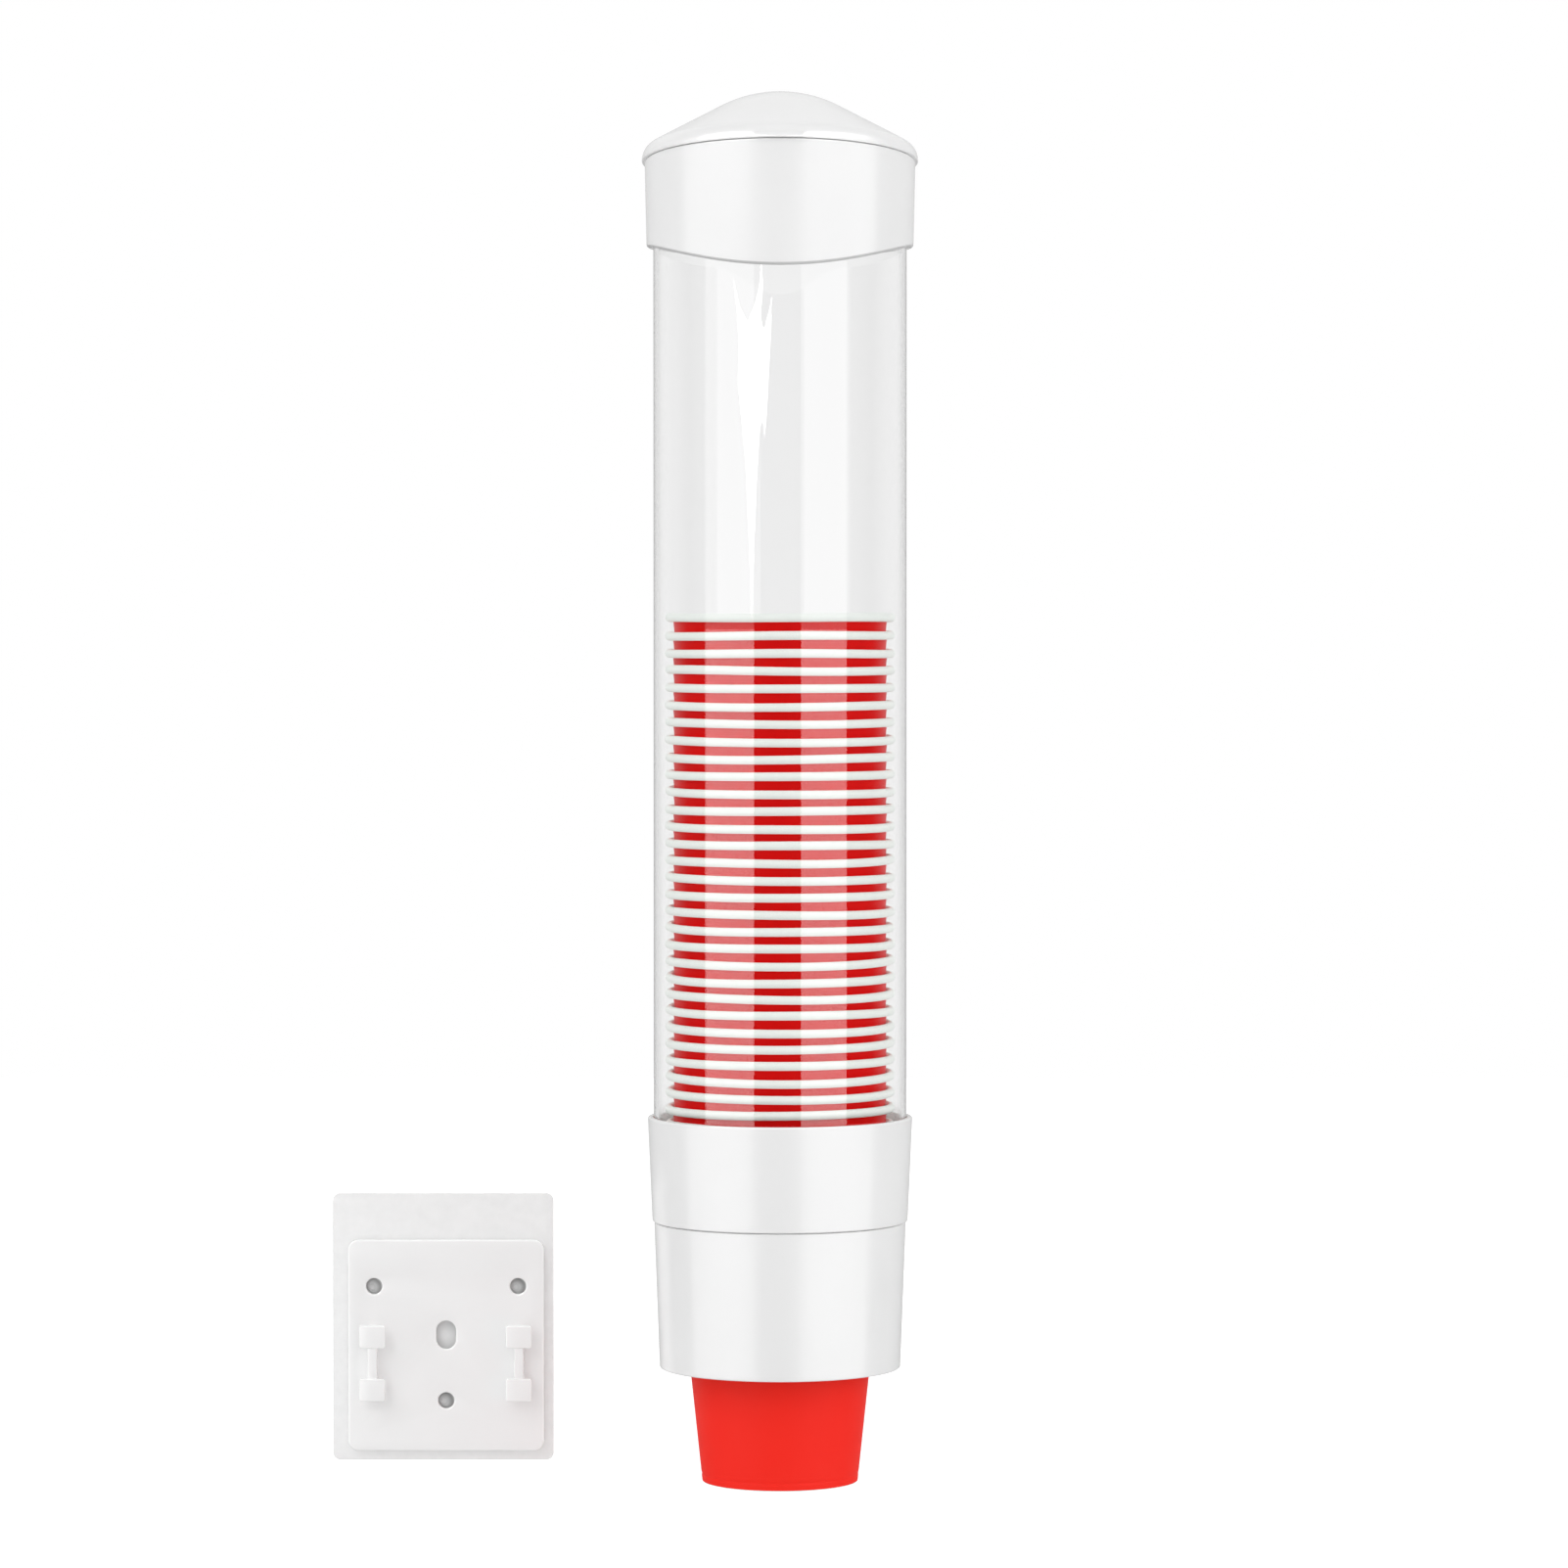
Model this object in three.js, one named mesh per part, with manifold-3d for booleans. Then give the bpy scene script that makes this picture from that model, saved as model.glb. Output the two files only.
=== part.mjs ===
// A wall-mounted dispenser that holds a stack of paper cups in a clear tube and lets one go at a pull.
// Its wall plate, with the sheet that sticks it to the wall, stands beside it.
// Lengths are in millimetres, +Z is up, the front faces -Y and the wall is at +Y.
// The origin is the middle of the hanger's rear face. Heights named below count up from the
// bottom edge of the base, and radii from the axis of the tube.

import * as THREE from 'three';
import { mergeVertices } from 'three/addons/utils/BufferGeometryUtils.js';
import Module from 'manifold-3d';

const wasm = await Module();
wasm.setup();

// Clearances and counts
const fit = 0.3; // between pieces that touch
const overrun = 5; // how far a cut runs past the face that it opens
const roundSegments = 40; // around the tube and what is turned to fit it
const smallSegments = 12; // around pins, screws, holes and knuckles
const stackSegments = 16; // around a stacked cup
const hangingSegments = 32; // around the cup that hangs in view

// Paper cup
const cupHeight = 91;
const rimRadius = 37.5;
const rimHeight = 2.9;
const rimRoll = 2.7; // how far the rolled rim stands out from the wall
const cupTaper = 9.4; // the foot is this much narrower than the top, at the radius
const cupWall = 0.28;
const floorRecess = 4.9; // the floor is set up inside the skirt
const floorThickness = 0.3;
const stackedCups = 35;

// Tube
const stackRoom = 2.3; // from the rims to the bore
const tubeWall = 1.4;
const tubeLength = 309.65;

// Base, in two parts that meet at a seam
const shellHeight = 47.7;
const shellFootWall = 1.35;
const outletRoom = 0.45; // from the rims to the mouth at the bottom
const footRound = 1.2;
const footRoundIn = 0.6;
const seamStep = 0.6; // the shell stands back from the ring
const ringHeight = 34.05;
const ringFootWall = 1.2;
const clawRoom = 3; // from the rims to the bore of the ring
const socketWall = 1.7;
const socketDepth = 12;
const ringEdge = 0.6;
const spigotHeight = 9.3; // the shell's lip inside the ring
const spigotWall = 1.1;
const beadHeight = 1.2;
const beadRise = 0.4; // snap bead on the lip, in its groove
const beadLevel = 3; // above the seam

// Retainer ring and claws
const clawCount = 4;
const retainerRoom = 0.7; // from the rims to the ring
const pivotLevel = 5.7; // above the underside of the retainer ring
const pivotRoom = 1.45; // from the rims to the pin's axis
const clawWidth = 6.6;
const knuckleWidth = 4;
const knuckleRadius = 0.85;
const leafThickness = 0.7;
const leafRoom = 0.4; // from the rims to the leaf
const rimDrop = 12.3; // from the pivots down to the rim that the noses hold
const noseReach = 0.9; // how far the nose reaches under the rim
const noseGap = 0.4; // below the rim's edge
const noseTip = 0.5;
const noseFoot = 0.6;
const clawPinRadius = 0.45;
const clawPinPlay = 0.15;
const clawPinGrip = 1.6; // how far each end of the pin sits in the retainer ring
const springRadius = 1;
const springLength = 2;

// Collar and lid
const collarGrip = 15.1; // how far the collar reaches down the tube at the sides
const collarFootWall = 1.9;
const collarDip = 8.5; // the lower edge is lower at the front
const collarRound = 1.4;
const ledgeThickness = 1.5;
const mouthStep = 0.7; // the mouth is wider than the socket
const mouthWall = 1.8;
const mouthHeight = 12.6; // from the top of the tube to the middle of the lid's seam
const lidTilt = THREE.MathUtils.degToRad(5.9); // the seam is higher at the front
const lidEdgeLevel = 1.95; // the middle of the rounded edge above the seam
const lidWall = 1.5;
const lidCapRadius = 42;
const lidConeAngle = THREE.MathUtils.degToRad(29);
const lidEdgeRadius = 3.2;
const flangeOverhang = 0.9;
const flangeChamfer = 0.4;
const skirtDepth = 4;
const skirtRoom = 0.8;
const skirtWall = 1.2;
const lipWidth = 16;
const lipReach = 1;
const lipHeight = 1.8;
const lipRoot = 2;

// Lid hinge
const hingeBarrel = 2.4;
const hingeStandoff = 2.7; // from the flange to the pin's axis
const hingePinRadius = 1;
const hingePinPlay = 0.15;
const lidKnuckleWidth = 8;
const earWidth = 4;
const knuckleGap = 0.4;
const armLift = 0.4;
const armRoot = 2;
const earRoot = 0.4;
const earDrop = 0.1;
const pinEnd = 0.3;

// Wall plate and its hooks
const plateWidth = 66.2;
const plateHeight = 71.5;
const plateThickness = 2.4;
const plateCorner = 3.5;
const plateBevel = 0.6;
const plateLeft = 112.8; // from the axis of the tube to the middle of the plate
const plateDrop = 0.8; // the middle of the plate below the bottom of the base
const hookSpacing = 49.4;
const hookRise = 17.95; // from the lower heads to the upper ones
const hookLevel = -14.65; // the lower heads, from the middle of the plate
const headWidth = 8.6;
const headHeight = 7.6;
const headThickness = 1.6;
const neckHeight = 2.9;
const webWidth = 3;
const webSink = 0.4; // the web's face lies behind the heads' faces
const plateHoleRadius = 2.7;
const upperHoleSpacing = 48.6;
const upperHoleLevel = 20;
const lowerHoleLevel = -18.7;
const slotWidth = 6.6;
const slotHeight = 9.5;
const slotLevel = 3.5;
const sheetWidth = 74.6;
const sheetHeight = 90.4;
const sheetThickness = 0.8;
const sheetCorner = 2.5;
const sheetRaise = 6; // its middle above the middle of the plate
const sheetShift = 1.1;

// Hanger bracket on the back of the base
const hangerStandoff = 60; // from the axis of the tube to the rear face
const hangerWidth = 66;
const hangerHeight = 42;
const hangerRaise = 3;
const hangerWall = 2;
const hangerPanel = 2.4;
const hangerCorner = 4;
const hangerDepth = 40; // before the room for the base's round back is cut away
const windowRaise = 7.7; // the middle of the lower windows above the hanger's bottom
const windowRoom = 0.3;
const slotRise = 12.7; // the slot's end above the middle of the upper window
const screwSpacing = 22;
const screwRadius = 1.5;
const screwHeadRadius = 2.9;
const screwLength = 14;
const screwSink = 0.2;
const screwPlay = 0.4;
const pilotPlay = 0.15;
const bossRadius = 3.2;

// Radii and heights that follow from the sizes above
const cupTopRadius = rimRadius - rimRoll; // just under the rolled rim
const cupFootRadius = cupTopRadius - cupTaper;
const cupSlope = (cupTopRadius - cupFootRadius) / (cupHeight - rimHeight);
const pitch = Math.max(floorRecess + floorThickness + fit, (cupWall + fit) / cupSlope);
const tubeBore = rimRadius + stackRoom;
const tubeRadius = tubeBore + tubeWall;
const socketRadius = tubeRadius + fit;
const ringBore = rimRadius + clawRoom;
const ringTopRadius = socketRadius + socketWall;
const ringFootRadius = ringBore + ringFootWall;
const ringBase = shellHeight + fit;
const ringTop = ringBase + ringHeight;
const ringLedge = ringTop - socketDepth;
const tubeBase = ringLedge + fit;
const tubeTop = tubeBase + tubeLength;
const shellTopRadius = ringFootRadius - seamStep;
const shellFootBore = rimRadius + outletRoom;
const shellFootRadius = shellFootBore + shellFootWall;
const spigotRadius = ringBore - fit;
const spigotBore = spigotRadius - spigotWall;
const spigotTop = shellHeight + spigotHeight;
const retainerBase = spigotTop + fit;
const retainerTop = tubeBase - fit;
const retainerBore = rimRadius + retainerRoom;
const pivotHeight = retainerBase + pivotLevel;
const pivotRadius = rimRadius + pivotRoom;
const rimUnderside = pivotHeight - rimDrop;
const cupHang = cupHeight - rimHeight - rimUnderside; // how far the lowest cup hangs out of the base
const clawFoot = rimUnderside - noseGap - noseReach - noseTip - noseFoot;
const seamHeight = tubeTop + mouthHeight;
const collarBase = tubeTop - collarGrip;
const collarFootRadius = socketRadius + collarFootWall;
const mouthRadius = socketRadius + mouthStep;
const collarTopRadius = mouthRadius + mouthWall;
const flangeRadius = collarTopRadius + flangeOverhang;
const edgeCentre = flangeRadius - lidEdgeRadius;
const edgeTop = Math.PI / 2 - lidConeAngle; // where the rounded edge runs out into the cone
const coneEnd = edgeCentre + lidEdgeRadius * Math.cos(edgeTop);
const coneRise = (coneEnd - lidCapRadius * Math.cos(edgeTop)) * Math.tan(lidConeAngle);
const capRise = lidCapRadius * (1 - Math.sin(edgeTop));
const lidHeight = lidEdgeLevel + lidEdgeRadius * Math.sin(edgeTop) + coneRise + capRise;
const hingeReach = flangeRadius + hingeStandoff;
const hingeY = hingeReach * Math.cos(lidTilt);
const hingeHeight = seamHeight - hingeReach * Math.sin(lidTilt);
const hangerMiddle = hangerRaise + hangerHeight / 2;

// Materials
function plastic(colour, roughness) {
  return new THREE.MeshStandardMaterial({ color: colour, roughness, metalness: 0 });
}

function steel() {
  return new THREE.MeshStandardMaterial({ color: 0xb8babd, roughness: 0.35, metalness: 1 });
}

function clear(colour, roughness, opacity) {
  return new THREE.MeshStandardMaterial({
    color: colour, roughness, metalness: 0, transparent: true, opacity,
  });
}

// Solids
function toSolid(geometry) {
  const bare = geometry.clone();
  bare.deleteAttribute('normal');
  bare.deleteAttribute('uv');
  const merged = mergeVertices(bare);
  const corners = merged.index.array;
  const kept = [];
  for (let i = 0; i < corners.length; i += 3) {
    const [a, b, c] = [corners[i], corners[i + 1], corners[i + 2]];
    if (a !== b && b !== c && c !== a) kept.push(a, b, c);
  }
  const mesh = new wasm.Mesh({
    numProp: 3,
    vertProperties: new Float32Array(merged.attributes.position.array),
    triVerts: new Uint32Array(kept),
  });
  return new wasm.Manifold(mesh);
}

function toGeometry(solid) {
  const mesh = solid.getMesh();
  const geometry = new THREE.BufferGeometry();
  const vertices = new Float32Array(mesh.vertProperties);
  geometry.setAttribute('position', new THREE.BufferAttribute(vertices, 3));
  geometry.setIndex(new THREE.BufferAttribute(new Uint32Array(mesh.triVerts), 1));
  geometry.computeVertexNormals();
  return geometry;
}

function cutFrom(geometry, cutters) {
  let solid = toSolid(geometry);
  for (const cutter of cutters) solid = solid.subtract(toSolid(cutter));
  return toGeometry(solid);
}

function joinTo(geometry, additions) {
  let solid = toSolid(geometry);
  for (const addition of additions) solid = solid.add(toSolid(addition));
  return toGeometry(solid);
}

// Turns a profile of [radius, height] points about the Z axis.
function turned(profile, segments) {
  const points = profile.map(([radius, height]) => new THREE.Vector2(radius, height));
  return new THREE.LatheGeometry(points, segments).rotateX(Math.PI / 2);
}

// A ring of square section between two radii and two heights.
function ring(inner, outer, low, high, segments) {
  return turned([[inner, low], [outer, low], [outer, high], [inner, high], [inner, low]], segments);
}

// A round bar about the Z axis.
function bar(radius, low, high, segments) {
  return turned([[0, low], [radius, low], [radius, high], [0, high]], segments);
}

// A round bar that runs along X or Y, between two places on that axis.
function barAlongX(radius, from, to) {
  return bar(radius, from, to, smallSegments).rotateY(Math.PI / 2);
}

function barAlongY(radius, from, to) {
  return bar(radius, from, to, smallSegments).rotateX(-Math.PI / 2);
}

// A block between its lowest and highest corners.
function block(low, high) {
  const [width, depth, height] = high.map((value, axis) => value - low[axis]);
  const middle = high.map((value, axis) => (value + low[axis]) / 2);
  return new THREE.BoxGeometry(width, depth, height).translate(...middle);
}

// Points on an arc about a centre, between two angles and with both ends.
function arc([x, y], radius, from, to, steps) {
  return Array.from({ length: steps + 1 }, (_, i) => {
    const angle = from + ((to - from) * i) / steps;
    return [x + radius * Math.cos(angle), y + radius * Math.sin(angle)];
  });
}

function roundedRectangle(width, height, corner) {
  const [x, y] = [width / 2 - corner, height / 2 - corner];
  const shape = new THREE.Shape();
  shape.absarc(x, y, corner, 0, Math.PI / 2);
  shape.absarc(-x, y, corner, Math.PI / 2, Math.PI);
  shape.absarc(-x, -y, corner, Math.PI, Math.PI * 1.5);
  shape.absarc(x, -y, corner, Math.PI * 1.5, Math.PI * 2);
  return shape;
}

function named(name, geometry, material) {
  const mesh = new THREE.Mesh(geometry, material);
  mesh.name = name;
  return mesh;
}

// Cups
function cupOuterRadius(height) {
  return cupFootRadius + cupSlope * height;
}

function cupGeometry(segments) {
  const floorTop = floorRecess + floorThickness;
  const rimBottom = cupHeight - rimHeight;
  return turned([
    [0, floorRecess],
    [cupOuterRadius(floorRecess) - cupWall, floorRecess],
    [cupFootRadius - cupWall, 0],
    [cupFootRadius, 0],
    [cupTopRadius, rimBottom],
    [rimRadius, rimBottom],
    [rimRadius, cupHeight],
    [cupOuterRadius(cupHeight) - cupWall, cupHeight],
    [cupOuterRadius(floorTop) - cupWall, floorTop],
    [0, floorTop],
  ], segments);
}

function cups() {
  const stack = new THREE.Group();
  const hanging = cupGeometry(hangingSegments);
  const stacked = cupGeometry(stackSegments);
  for (let i = 0; i <= stackedCups; i += 1) {
    const name = `cup_${String(i + 1).padStart(2, '0')}`;
    const cup = named(name, i === 0 ? hanging : stacked, plastic(0xf5362d, 0.45));
    cup.position.z = i * pitch - cupHang;
    stack.add(cup);
  }
  return stack;
}

// Tube
function tube() {
  const wall = ring(tubeBore, tubeRadius, 0, tubeLength, roundSegments);
  const mesh = named('tube', wall, clear(0xf4f6f6, 0.05, 0.25));
  mesh.position.z = tubeBase;
  return mesh;
}

// Base
function baseRing() {
  const grooveRadius = ringBore + beadRise;
  const grooveLow = ringBase + beadLevel - fit;
  const grooveHigh = grooveLow + beadHeight + 2 * fit;
  const profile = [
    [ringBore, ringBase],
    [ringFootRadius - ringEdge, ringBase],
    [ringFootRadius, ringBase + ringEdge],
    [ringTopRadius, ringTop - ringEdge],
    [ringTopRadius - ringEdge, ringTop],
    [socketRadius, ringTop],
    [socketRadius, ringLedge],
    [ringBore, ringLedge],
    [ringBore, grooveHigh],
    [grooveRadius, grooveHigh],
    [grooveRadius, grooveLow],
    [ringBore, grooveLow],
    [ringBore, ringBase],
  ];
  return named('base_ring', turned(profile, roundSegments), plastic(0xf2f2f2, 0.25));
}

function shellOuterRadius(height) {
  return shellFootRadius + ((shellTopRadius - shellFootRadius) * height) / shellHeight;
}

function baseShell() {
  const beadLow = ringBase + beadLevel;
  const beadRadius = spigotRadius + beadRise;
  const profile = [
    [shellFootBore, 0],
    [shellFootRadius - footRoundIn, 0],
    [shellOuterRadius(footRound), footRound],
    [shellTopRadius, shellHeight],
    [spigotRadius, shellHeight],
    [spigotRadius, beadLow],
    [beadRadius, beadLow + beadHeight / 2],
    [spigotRadius, beadLow + beadHeight],
    [spigotRadius, spigotTop],
    [spigotBore, spigotTop],
    [spigotBore, shellHeight],
    [shellFootBore, 0],
  ];
  const bosses = screwHeights().map((height) => {
    const root = shellOuterRadius(height) - shellFootWall / 2;
    return barAlongY(bossRadius, root, hangerStandoff - hangerPanel - fit).translate(0, 0, height);
  });
  const pilots = screwHeights().map((height) => (
    barAlongY(screwRadius + pilotPlay, screwTipY() - fit, hangerStandoff).translate(0, 0, height)
  ));
  const notches = clawAngles().map((angle) => {
    const half = clawWidth / 2 + fit;
    const low = [spigotBore - spigotWall, -half, clawFoot - fit];
    const high = [ringBore + beadRise, half, spigotTop + overrun];
    return block(low, high).rotateZ(angle);
  });
  const joined = joinTo(turned(profile, roundSegments), bosses);
  const shell = cutFrom(joined, [...pilots, ...notches]);
  return named('base_shell', shell, plastic(0xf2f2f2, 0.25));
}

// Retainer ring and claws
function clawAngles() {
  const first = Math.PI / clawCount;
  return Array.from({ length: clawCount }, (_, i) => first + (i * Math.PI * 2) / clawCount);
}

function retainerRing() {
  const half = clawWidth / 2 + fit;
  const slotTop = pivotHeight + springRadius + fit;
  const pinHalf = half + clawPinGrip + fit;
  const cutters = clawAngles().flatMap((angle) => [
    block(
      [retainerBore - overrun, -half, retainerBase - overrun],
      [spigotRadius + overrun, half, slotTop],
    ).rotateZ(angle),
    barAlongY(clawPinRadius + clawPinPlay, -pinHalf, pinHalf)
      .translate(pivotRadius, 0, pivotHeight)
      .rotateZ(angle),
  ]);
  const body = ring(retainerBore, spigotRadius, retainerBase, retainerTop, roundSegments);
  return named('retainer_ring', cutFrom(body, cutters), plastic(0xe4e5e6, 0.4));
}

// The claw seen from its side: X points outwards, Y up, and the pin's axis is the origin.
function clawOutline() {
  const leafIn = rimRadius + leafRoom - pivotRadius;
  const leafOut = leafIn + leafThickness;
  const tip = rimRadius - noseReach - pivotRadius;
  const tipTop = rimUnderside - noseGap - noseReach - pivotHeight;
  const foot = clawFoot - pivotHeight;
  const noseTop = tipTop + leafIn - tip;
  const backAngle = -Math.acos(leafOut / knuckleRadius);
  return [
    [tip, tipTop],
    [tip, tipTop - noseTip],
    [leafIn, foot],
    [leafOut, foot],
    ...arc([0, 0], knuckleRadius, backAngle, Math.PI, smallSegments),
    [leafIn, -knuckleRadius],
    [leafIn, noseTop],
  ];
}

function clawGeometry() {
  const outline = new THREE.Shape(clawOutline().map(([x, y]) => new THREE.Vector2(x, y)));
  const flat = new THREE.ExtrudeGeometry(outline, { depth: clawWidth, bevelEnabled: false });
  const body = flat.rotateX(Math.PI / 2).translate(0, clawWidth / 2, 0);
  const springSide = knuckleWidth - clawWidth / 2;
  const springRoom = block(
    [-overrun, springSide, -springRadius - fit],
    [overrun, clawWidth / 2 + overrun, overrun],
  );
  const pinHole = barAlongY(clawPinRadius + clawPinPlay, -clawWidth, clawWidth);
  return cutFrom(body, [springRoom, pinHole]);
}

function clawSet(angle, number) {
  const pinHalf = clawWidth / 2 + fit + clawPinGrip;
  const springFrom = knuckleWidth - clawWidth / 2 + fit;
  const coil = ring(
    clawPinRadius + clawPinPlay, springRadius, springFrom, springFrom + springLength, smallSegments,
  ).rotateX(-Math.PI / 2);
  const set = new THREE.Group();
  set.add(named(`claw_${number}`, clawGeometry(), plastic(0xe4e5e6, 0.4)));
  set.add(named(`claw_pin_${number}`, barAlongY(clawPinRadius, -pinHalf, pinHalf), steel()));
  set.add(named(`claw_spring_${number}`, coil, steel()));
  set.position.set(pivotRadius * Math.cos(angle), pivotRadius * Math.sin(angle), pivotHeight);
  set.rotation.z = angle;
  return set;
}

// Collar
// Raises the top to the lid's slope and lets the foot dip at the front.
function slopeCollar(geometry) {
  const places = geometry.attributes.position;
  const foot = collarBase;
  const height = seamHeight - fit - foot;
  for (let i = 0; i < places.count; i += 1) {
    const share = (places.getZ(i) - foot) / height;
    const y = places.getY(i);
    const slope = -y * Math.tan(lidTilt);
    const dip = collarDip * (Math.min(y, 0) / collarFootRadius) ** 2;
    places.setZ(i, places.getZ(i) + share * slope - (1 - share) * dip);
  }
  return geometry;
}

function topCollar() {
  const top = seamHeight - fit;
  const plug = slopeCollar(turned([
    [0, collarBase],
    [collarFootRadius - collarRound, collarBase],
    [collarFootRadius, collarBase + collarRound],
    [collarTopRadius, top],
    [0, top],
  ], roundSegments));
  const ledge = tubeTop + fit;
  const far = collarTopRadius;
  const bores = [
    bar(socketRadius, collarBase - far, ledge, roundSegments),
    bar(tubeBore, ledge - overrun, top + far, roundSegments),
    bar(mouthRadius, ledge + ledgeThickness, top + far, roundSegments),
  ];
  const from = lidKnuckleWidth / 2 + knuckleGap;
  const to = from + earWidth;
  const ears = [[from, to], [-to, -from]].flatMap(([left, right]) => [
    barAlongX(hingeBarrel, left, right).translate(0, hingeY, hingeHeight),
    block(
      [left, mouthRadius + earRoot, hingeHeight - hingeBarrel],
      [right, hingeY, hingeHeight - earDrop],
    ),
  ]);
  const hole = barAlongX(hingePinRadius + hingePinPlay, -to - overrun, to + overrun)
    .translate(0, hingeY, hingeHeight);
  const collar = cutFrom(joinTo(cutFrom(plug, bores), ears), [hole]);
  return named('top_collar', collar, plastic(0xf2f2f2, 0.25));
}

function lidHingePin() {
  const half = lidKnuckleWidth / 2 + knuckleGap + earWidth + pinEnd;
  const pin = named('lid_hinge_pin', barAlongX(hingePinRadius, -half, half), steel());
  pin.position.set(0, hingeY, hingeHeight);
  return pin;
}

// Lid, about the middle of its seam
// The dome is a round cap that runs out into a cone, down to the rounded edge of the flange.
function domeProfile(offset, endRadius, capSteps) {
  const capCentre = [0, lidHeight - lidCapRadius];
  const radius = lidCapRadius - offset;
  const cap = arc(capCentre, radius, edgeTop, Math.PI / 2, capSteps);
  const [joinRadius, joinHeight] = cap[0];
  const endHeight = joinHeight - (endRadius - joinRadius) * Math.tan(lidConeAngle);
  cap[capSteps][0] = 0;
  return [[endRadius, endHeight], ...cap];
}

function lidProfile() {
  const outer = domeProfile(0, coneEnd, 4);
  const skirtRadius = mouthRadius - skirtRoom;
  const inner = domeProfile(lidWall, skirtRadius - skirtWall, 3).reverse();
  return [
    ...inner,
    [skirtRadius - skirtWall, -skirtDepth],
    [skirtRadius, -skirtDepth],
    [skirtRadius, 0],
    [flangeRadius - flangeChamfer, 0],
    [flangeRadius, flangeChamfer],
    ...arc([edgeCentre, lidEdgeLevel], lidEdgeRadius, 0, edgeTop, 3),
    ...outer.slice(1),
  ];
}

function lid() {
  const half = lidKnuckleWidth / 2;
  const lip = block(
    [-lipWidth / 2, -flangeRadius - lipReach, 0],
    [lipWidth / 2, lipRoot - flangeRadius, lipHeight],
  );
  const arm = block([-half, flangeRadius - armRoot, armLift], [half, hingeReach, hingeBarrel]);
  const knuckle = barAlongX(hingeBarrel, -half, half).translate(0, hingeReach, 0);
  const hole = barAlongX(hingePinRadius + hingePinPlay, -half - overrun, half + overrun)
    .translate(0, hingeReach, 0);
  const joined = joinTo(turned(lidProfile(), roundSegments), [lip, arm, knuckle]);
  const mesh = named('lid', cutFrom(joined, [hole]), plastic(0xf2f2f2, 0.25));
  mesh.position.z = seamHeight;
  mesh.rotation.x = -lidTilt;
  return mesh;
}

// Hanger bracket
function screwHeights() {
  return [hangerMiddle - screwSpacing / 2, hangerMiddle + screwSpacing / 2];
}

function screwTipY() {
  return hangerStandoff - screwSink - screwLength;
}

function hangerOutline(inset) {
  const half = hangerWidth / 2 - inset;
  const rear = hangerStandoff - (inset > 0 ? hangerPanel : 0);
  const front = hangerStandoff - hangerDepth - inset;
  const corner = hangerCorner - inset;
  const shape = new THREE.Shape();
  shape.moveTo(-half, front);
  shape.lineTo(half, front);
  shape.absarc(half - corner, rear - corner, corner, 0, Math.PI / 2);
  shape.absarc(corner - half, rear - corner, corner, Math.PI / 2, Math.PI);
  return shape;
}

function hangerBlock(inset) {
  const depth = hangerHeight - 2 * inset;
  const options = { depth, bevelEnabled: false, curveSegments: 4 };
  const solid = new THREE.ExtrudeGeometry(hangerOutline(inset), options);
  return solid.translate(0, 0, hangerRaise + inset);
}

function hookOpenings() {
  const lower = hangerRaise + windowRaise;
  const upper = lower + hookRise;
  const front = hangerStandoff - hangerPanel - overrun;
  const back = hangerStandoff + overrun;
  const halfWidth = headWidth / 2 + windowRoom;
  const halfHeight = headHeight / 2 + windowRoom;
  const halfSlot = webWidth / 2 + windowRoom;
  return [-hookSpacing / 2, hookSpacing / 2].flatMap((x) => [
    block([x - halfWidth, front, lower - halfHeight], [x + halfWidth, back, lower + halfHeight]),
    block([x - halfWidth, front, upper - halfHeight], [x + halfWidth, back, upper + halfHeight]),
    block([x - halfSlot, front, lower], [x + halfSlot, back, upper + slotRise]),
  ]);
}

function hangerBracket() {
  const baseRoom = turned([
    [0, -overrun],
    [shellOuterRadius(-overrun) + fit, -overrun],
    [shellTopRadius + fit, shellHeight],
    [ringTopRadius + fit, shellHeight],
    [ringTopRadius + fit, ringTop],
    [0, ringTop],
  ], roundSegments);
  const headTop = screwHeadRadius + screwPlay + screwSink + overrun;
  const sinks = screwHeights().map((height) => turned([
    [0, -screwLength],
    [screwRadius + screwPlay, -screwLength],
    [screwRadius + screwPlay, screwRadius - screwHeadRadius - screwSink],
    [headTop, overrun],
    [0, overrun],
  ], smallSegments).rotateX(-Math.PI / 2).translate(0, hangerStandoff, height));
  const cutters = [hangerBlock(hangerWall), baseRoom, ...hookOpenings(), ...sinks];
  return named('hanger_bracket', cutFrom(hangerBlock(0), cutters), plastic(0xf2f2f2, 0.3));
}

function hangerScrew(height, number) {
  const countersunk = screwRadius - screwHeadRadius;
  const screw = turned([
    [0, -screwLength],
    [screwRadius, -screwLength],
    [screwRadius, countersunk],
    [screwHeadRadius, 0],
    [0, 0],
  ], smallSegments).rotateX(-Math.PI / 2);
  const mesh = named(`hanger_screw_${number}`, screw, steel());
  mesh.position.set(0, hangerStandoff - screwSink, height);
  return mesh;
}

// Wall plate, about the middle of its front face
function plateHoles() {
  const places = [
    [-upperHoleSpacing / 2, upperHoleLevel],
    [upperHoleSpacing / 2, upperHoleLevel],
    [0, lowerHoleLevel],
  ];
  const holes = places.map(([x, y]) => (
    new THREE.Path().absarc(x, y, plateHoleRadius, 0, Math.PI * 2, true)
  ));
  const end = (slotHeight - slotWidth) / 2;
  const slot = new THREE.Path();
  slot.absarc(0, slotLevel + end, slotWidth / 2, Math.PI, 0, true);
  slot.absarc(0, slotLevel - end, slotWidth / 2, 0, -Math.PI, true);
  return [...holes, slot];
}

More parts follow.
